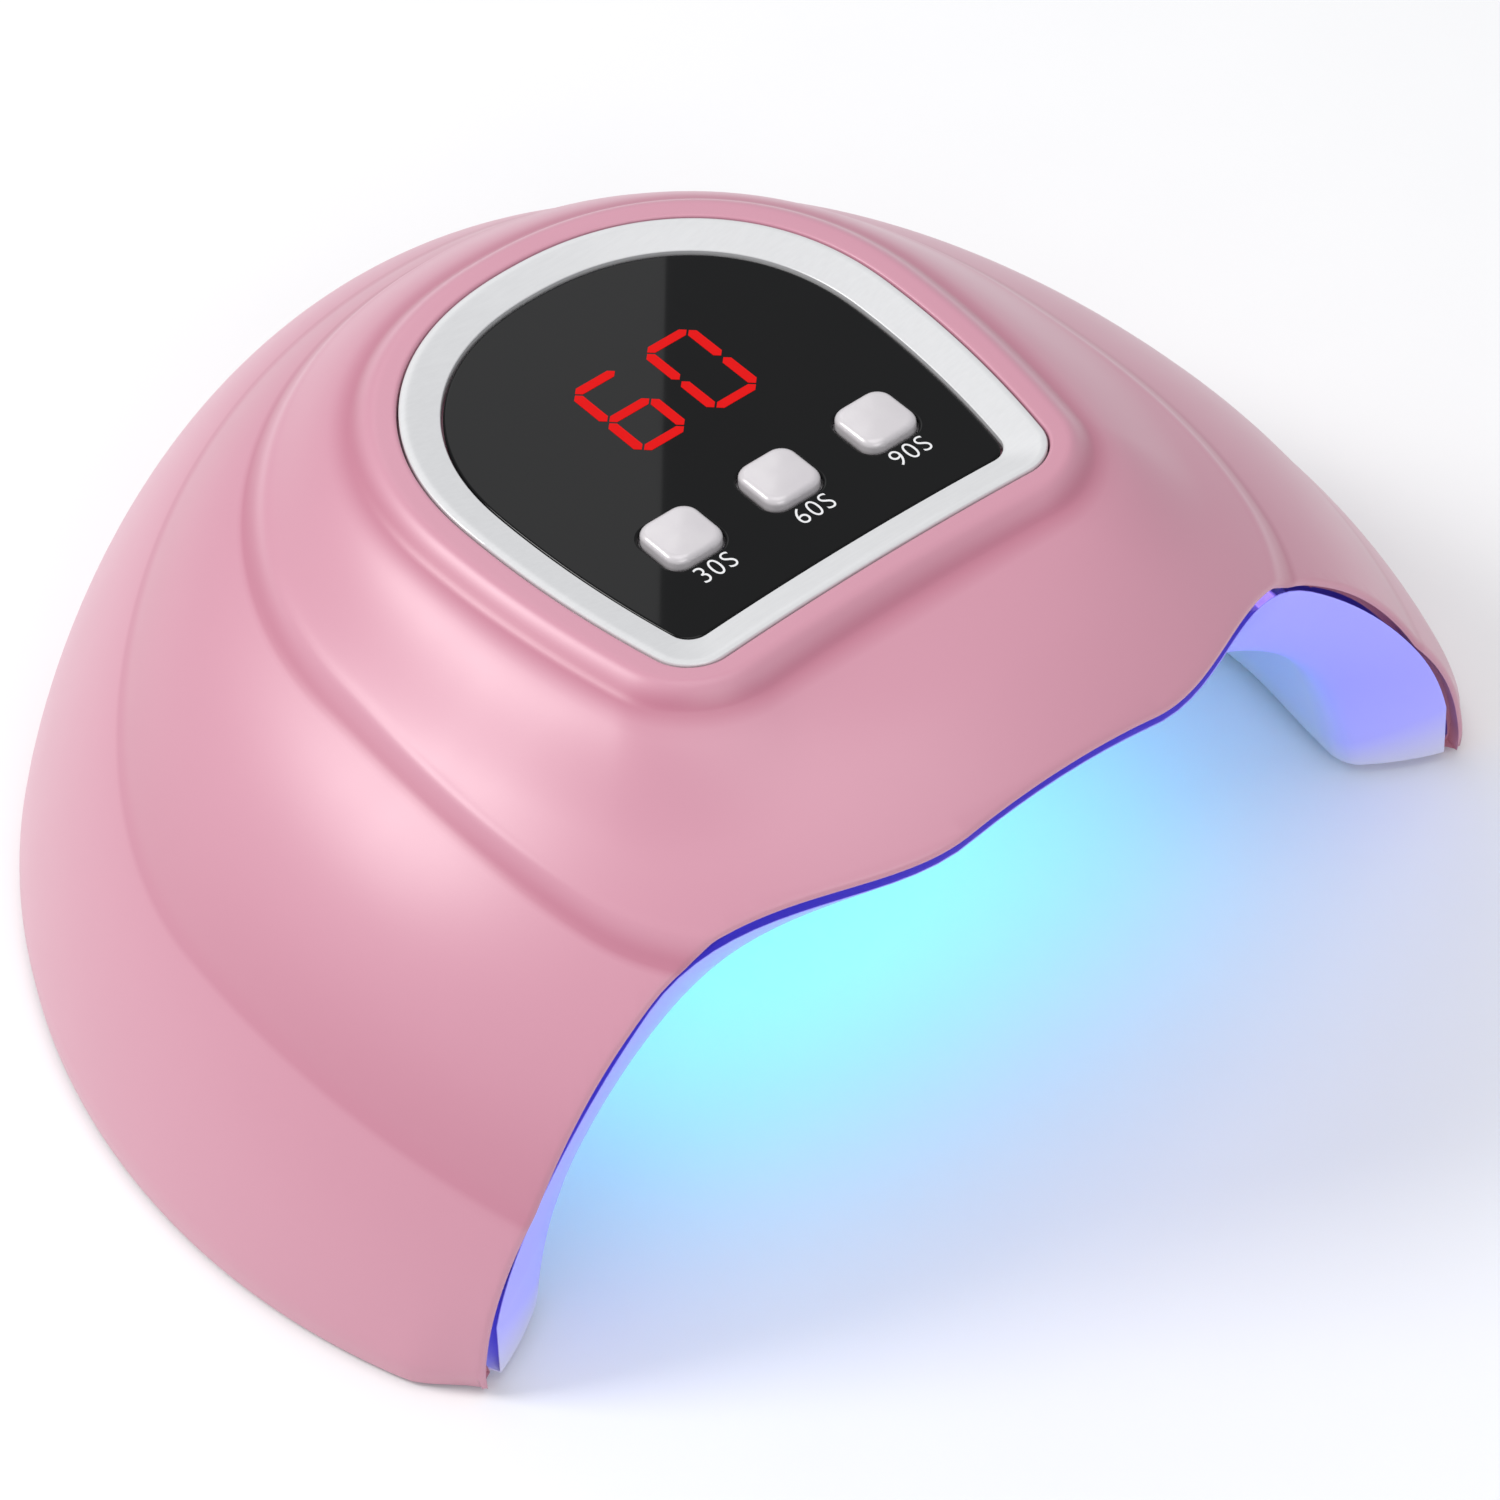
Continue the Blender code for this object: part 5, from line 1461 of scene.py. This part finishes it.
# %% [markdown]
# ## Power inlet
#
# At the back a barrel inlet looks out through the cover: a black sleeve with a chamfered mouth,
# and a steel pin in the middle, which keeps its own plain solid. It could be a stack of
# cylinders with cuts. One profile, turned round the middle, gives the mouth, its chamfers and
# the collar that holds it inside the cover in a single closed shape.

# %% Inlet
sleeve = inlet_high.y - inlet_low.y
profile = in_mm([(0.0, -9.5), (2.8, -9.5), (2.8, -0.5), (3.1, -0.1), (3.4, 0.0), (3.7, 0.0),
                 (4.0, -0.3), (4.0, -3.0), (5.8, -3.0), (5.8, -4.0), (4.0, -4.0)])
profile += [(4.0 * MM, -sleeve), (0.0, -sleeve)]
inlet = turned("barrel_inlet", profile, dark_finish)
inlet.data.transform(Matrix.Translation((0, inlet_high.y, inlet_z)) @ BACKWARD)
report(inlet)

# %% [markdown]
# ## Everything joins the frame
#
# Each fine piece rides on the body it belongs to and stands for the plain solids it replaces. The
# solids inside the lamp stay as they are and only get their finish.

# %% Ride, replace and dress
ROOT = "lamp"


def join_frame(piece, body, slot, *nodes):
    """Put a piece on the body it rides on and hide the solids it stands for; slot is not used."""
    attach(piece, body)
    if nodes:
        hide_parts(*nodes)


join_frame(cover, ROOT, "pink_shell", "top_shell")
join_frame(liner, ROOT, "white_liner", "reflector_liner")
join_frame(ring, ROOT, "silver_trim", "trim_ring")
join_frame(window, ROOT, "black_window", "display_window")
join_frame(digits, ROOT, "display")
for made in legends:
    join_frame(made, ROOT, "button_cap")
for word, cap in caps.items():
    join_frame(cap, f"timer_button_{word}", "button_cap", f"button_{word}")
join_frame(lenses, ROOT, "bead_lens", *BEAD_NODES)
join_frame(feet, ROOT, "rubber", *FOOT_NODES)
join_frame(screws, ROOT, "steel", *SCREW_NODES)
join_frame(inlet, ROOT, "black_plastic", "power_inlet")

FINISH_OF = {
    "control_board": board_finish, "display_block": filter_finish, "hand_sensor": sensor_finish,
    "capacitor": can_finish, "led_plug": nylon_finish, "power_plug": nylon_finish,
    "timer_chip": dark_finish, "driver_coil": dark_finish, "inlet_pin": steel_finish,
    "board_screw": steel_finish, "led_board": masked_finish, "switch_body": dark_finish,
    "switch_plunger": dark_finish,
}
for name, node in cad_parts.items():
    for start, finish in FINISH_OF.items():
        if name.startswith(start):
            dress(node.data, finish)
print("dressed", len(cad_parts), "nodes")

# %% [markdown]
# ## Floor, light and camera
#
# A pale floor and pale surroundings keep the pink clean. A small soft box high at the left back
# gives the long soft highlight on that shoulder. Wide ones above and in front fill the rest, and
# a dim panel behind is what the black window mirrors. A sky picture could light the scene
# instead, but a few boxes are easier to place. A blue-green light under the roof stands for the
# beads and tints the table. The camera looks down at the lamp with a long lens, from in front
# and a little to one side.

# %% Floor and surroundings


def paper_floor():
    finish = Finish("pale_floor", (0.86, 0.86, 0.87), 0.75)
    fibre = finish.noise(30 * MM, 3.0)
    finish.set("Base Color", finish.blend(fibre, (0.90, 0.90, 0.905), (0.92, 0.92, 0.92)))
    return finish.material


REACH = 4.0
corners = [(-REACH, -REACH, 0), (REACH, -REACH, 0), (REACH, REACH, 0), (-REACH, REACH, 0)]
floor_mesh = bpy.data.meshes.new("floor")
floor_mesh.from_pydata(corners, [], [(0, 1, 2, 3)])
floor = piece_of("floor", floor_mesh, paper_floor())

world = bpy.context.scene.world or bpy.data.worlds.new("surroundings")
bpy.context.scene.world = world
world.use_nodes = True
backdrop = world.node_tree.nodes["Background"]
backdrop.inputs["Color"].default_value = (0.95, 0.97, 1.0, 1.0)
backdrop.inputs["Strength"].default_value = 0.58
bpy.context.scene.view_settings.view_transform = "Standard"
print("floor and surroundings ready")

# %% Camera
TARGET = Vector((-9.6, -34.0, 37.5)) * MM
AZIMUTH, ELEVATION, ROLL = math.radians(37.727), math.radians(45.586), math.radians(-2.737)
DISTANCE, LENS, SENSOR_WIDTH = 0.841, 148.17, 36.0
back_way = Vector((-math.sin(AZIMUTH) * math.cos(ELEVATION),
                   -math.cos(AZIMUTH) * math.cos(ELEVATION), math.sin(ELEVATION)))
level = Vector((math.cos(AZIMUTH), -math.sin(AZIMUTH), 0.0))
above = back_way.cross(level)
right_way = math.cos(ROLL) * level + math.sin(ROLL) * above
up_way = math.cos(ROLL) * above - math.sin(ROLL) * level
lens = bpy.data.cameras.new("camera")
lens.lens = LENS
lens.sensor_width = SENSOR_WIDTH
camera = in_scene("camera", lens)
facing = Matrix((right_way, up_way, back_way)).transposed().to_4x4()
EYE = TARGET + back_way * DISTANCE
camera.matrix_world = Matrix.Translation(EYE) @ facing
bpy.context.scene.camera = camera
print("camera at", [round(part, 3) for part in camera.matrix_world.translation])

# %% Soft boxes
AIM = Vector((0.0, 0.0, 40 * MM))
UNDER_ROOF = Vector((0.0, LEG_Y + 48 * MM, FLANGE_Z + ROOF_HEIGHT - 6 * MM))
BEAD_WATTS, BEAD_SPREAD = 0.020, math.radians(120)


def soft_box(name, direction, distance, width, height, watts, colour=(1.0, 1.0, 1.0)):
    """A rectangular light that looks at the lamp from a direction."""
    data = bpy.data.lights.new(name, "AREA")
    data.shape = "RECTANGLE"
    data.size, data.size_y = width, height
    data.energy = watts
    data.color = colour
    light = in_scene(name, data)
    direction = Vector(direction).normalized()
    light.location = AIM + direction * distance
    light.rotation_euler = direction.to_track_quat("Z", "Y").to_euler()
    return light


soft_box("key_box", (-0.58, 0.47, 0.67), 1.1, 0.38, 0.38, 5.8, (1.0, 0.985, 0.975))
soft_box("top_box", (0.0, -0.1, 1.0), 1.5, 1.0, 1.0, 4.2)
soft_box("front_box", (-0.25, -0.80, 0.55), 1.3, 0.8, 0.6, 3.1)
under = soft_box("bead_light", (0.0, 0.0, 1.0), 0.0, 100 * MM, 80 * MM, BEAD_WATTS,
                 (0.0, 0.92, 1.0))
under.data.spread = BEAD_SPREAD
under.location = UNDER_ROOF

# A panel whose edge is mirrored across the window. The two points are where that edge shows.
EDGE_POINTS = (Vector((17.7, 15.0, 77.7)) * MM, Vector((-28.6, -40.6, 77.7)) * MM)
PANEL_REACH, PANEL_SIDE, PANEL_WATTS = 1.9, 0.5, 0.72
mirrored = Vector((EYE.x, EYE.y, 2 * window_high.z - EYE.z))
one, two = ((point - mirrored).normalized() for point in EDGE_POINTS)
across = one.cross(two).normalized()
along = (one + two).normalized()
panel_place = mirrored + along * PANEL_REACH - across * PANEL_SIDE / 2
panel_facing = Matrix((across, along.cross(across), along)).transposed().to_4x4()
panel = soft_box("window_panel", (0.0, 0.0, 1.0), 1.0, PANEL_SIDE, PANEL_SIDE, PANEL_WATTS)
panel.matrix_world = Matrix.Translation(panel_place) @ panel_facing
print("lights:", len(bpy.data.lights))
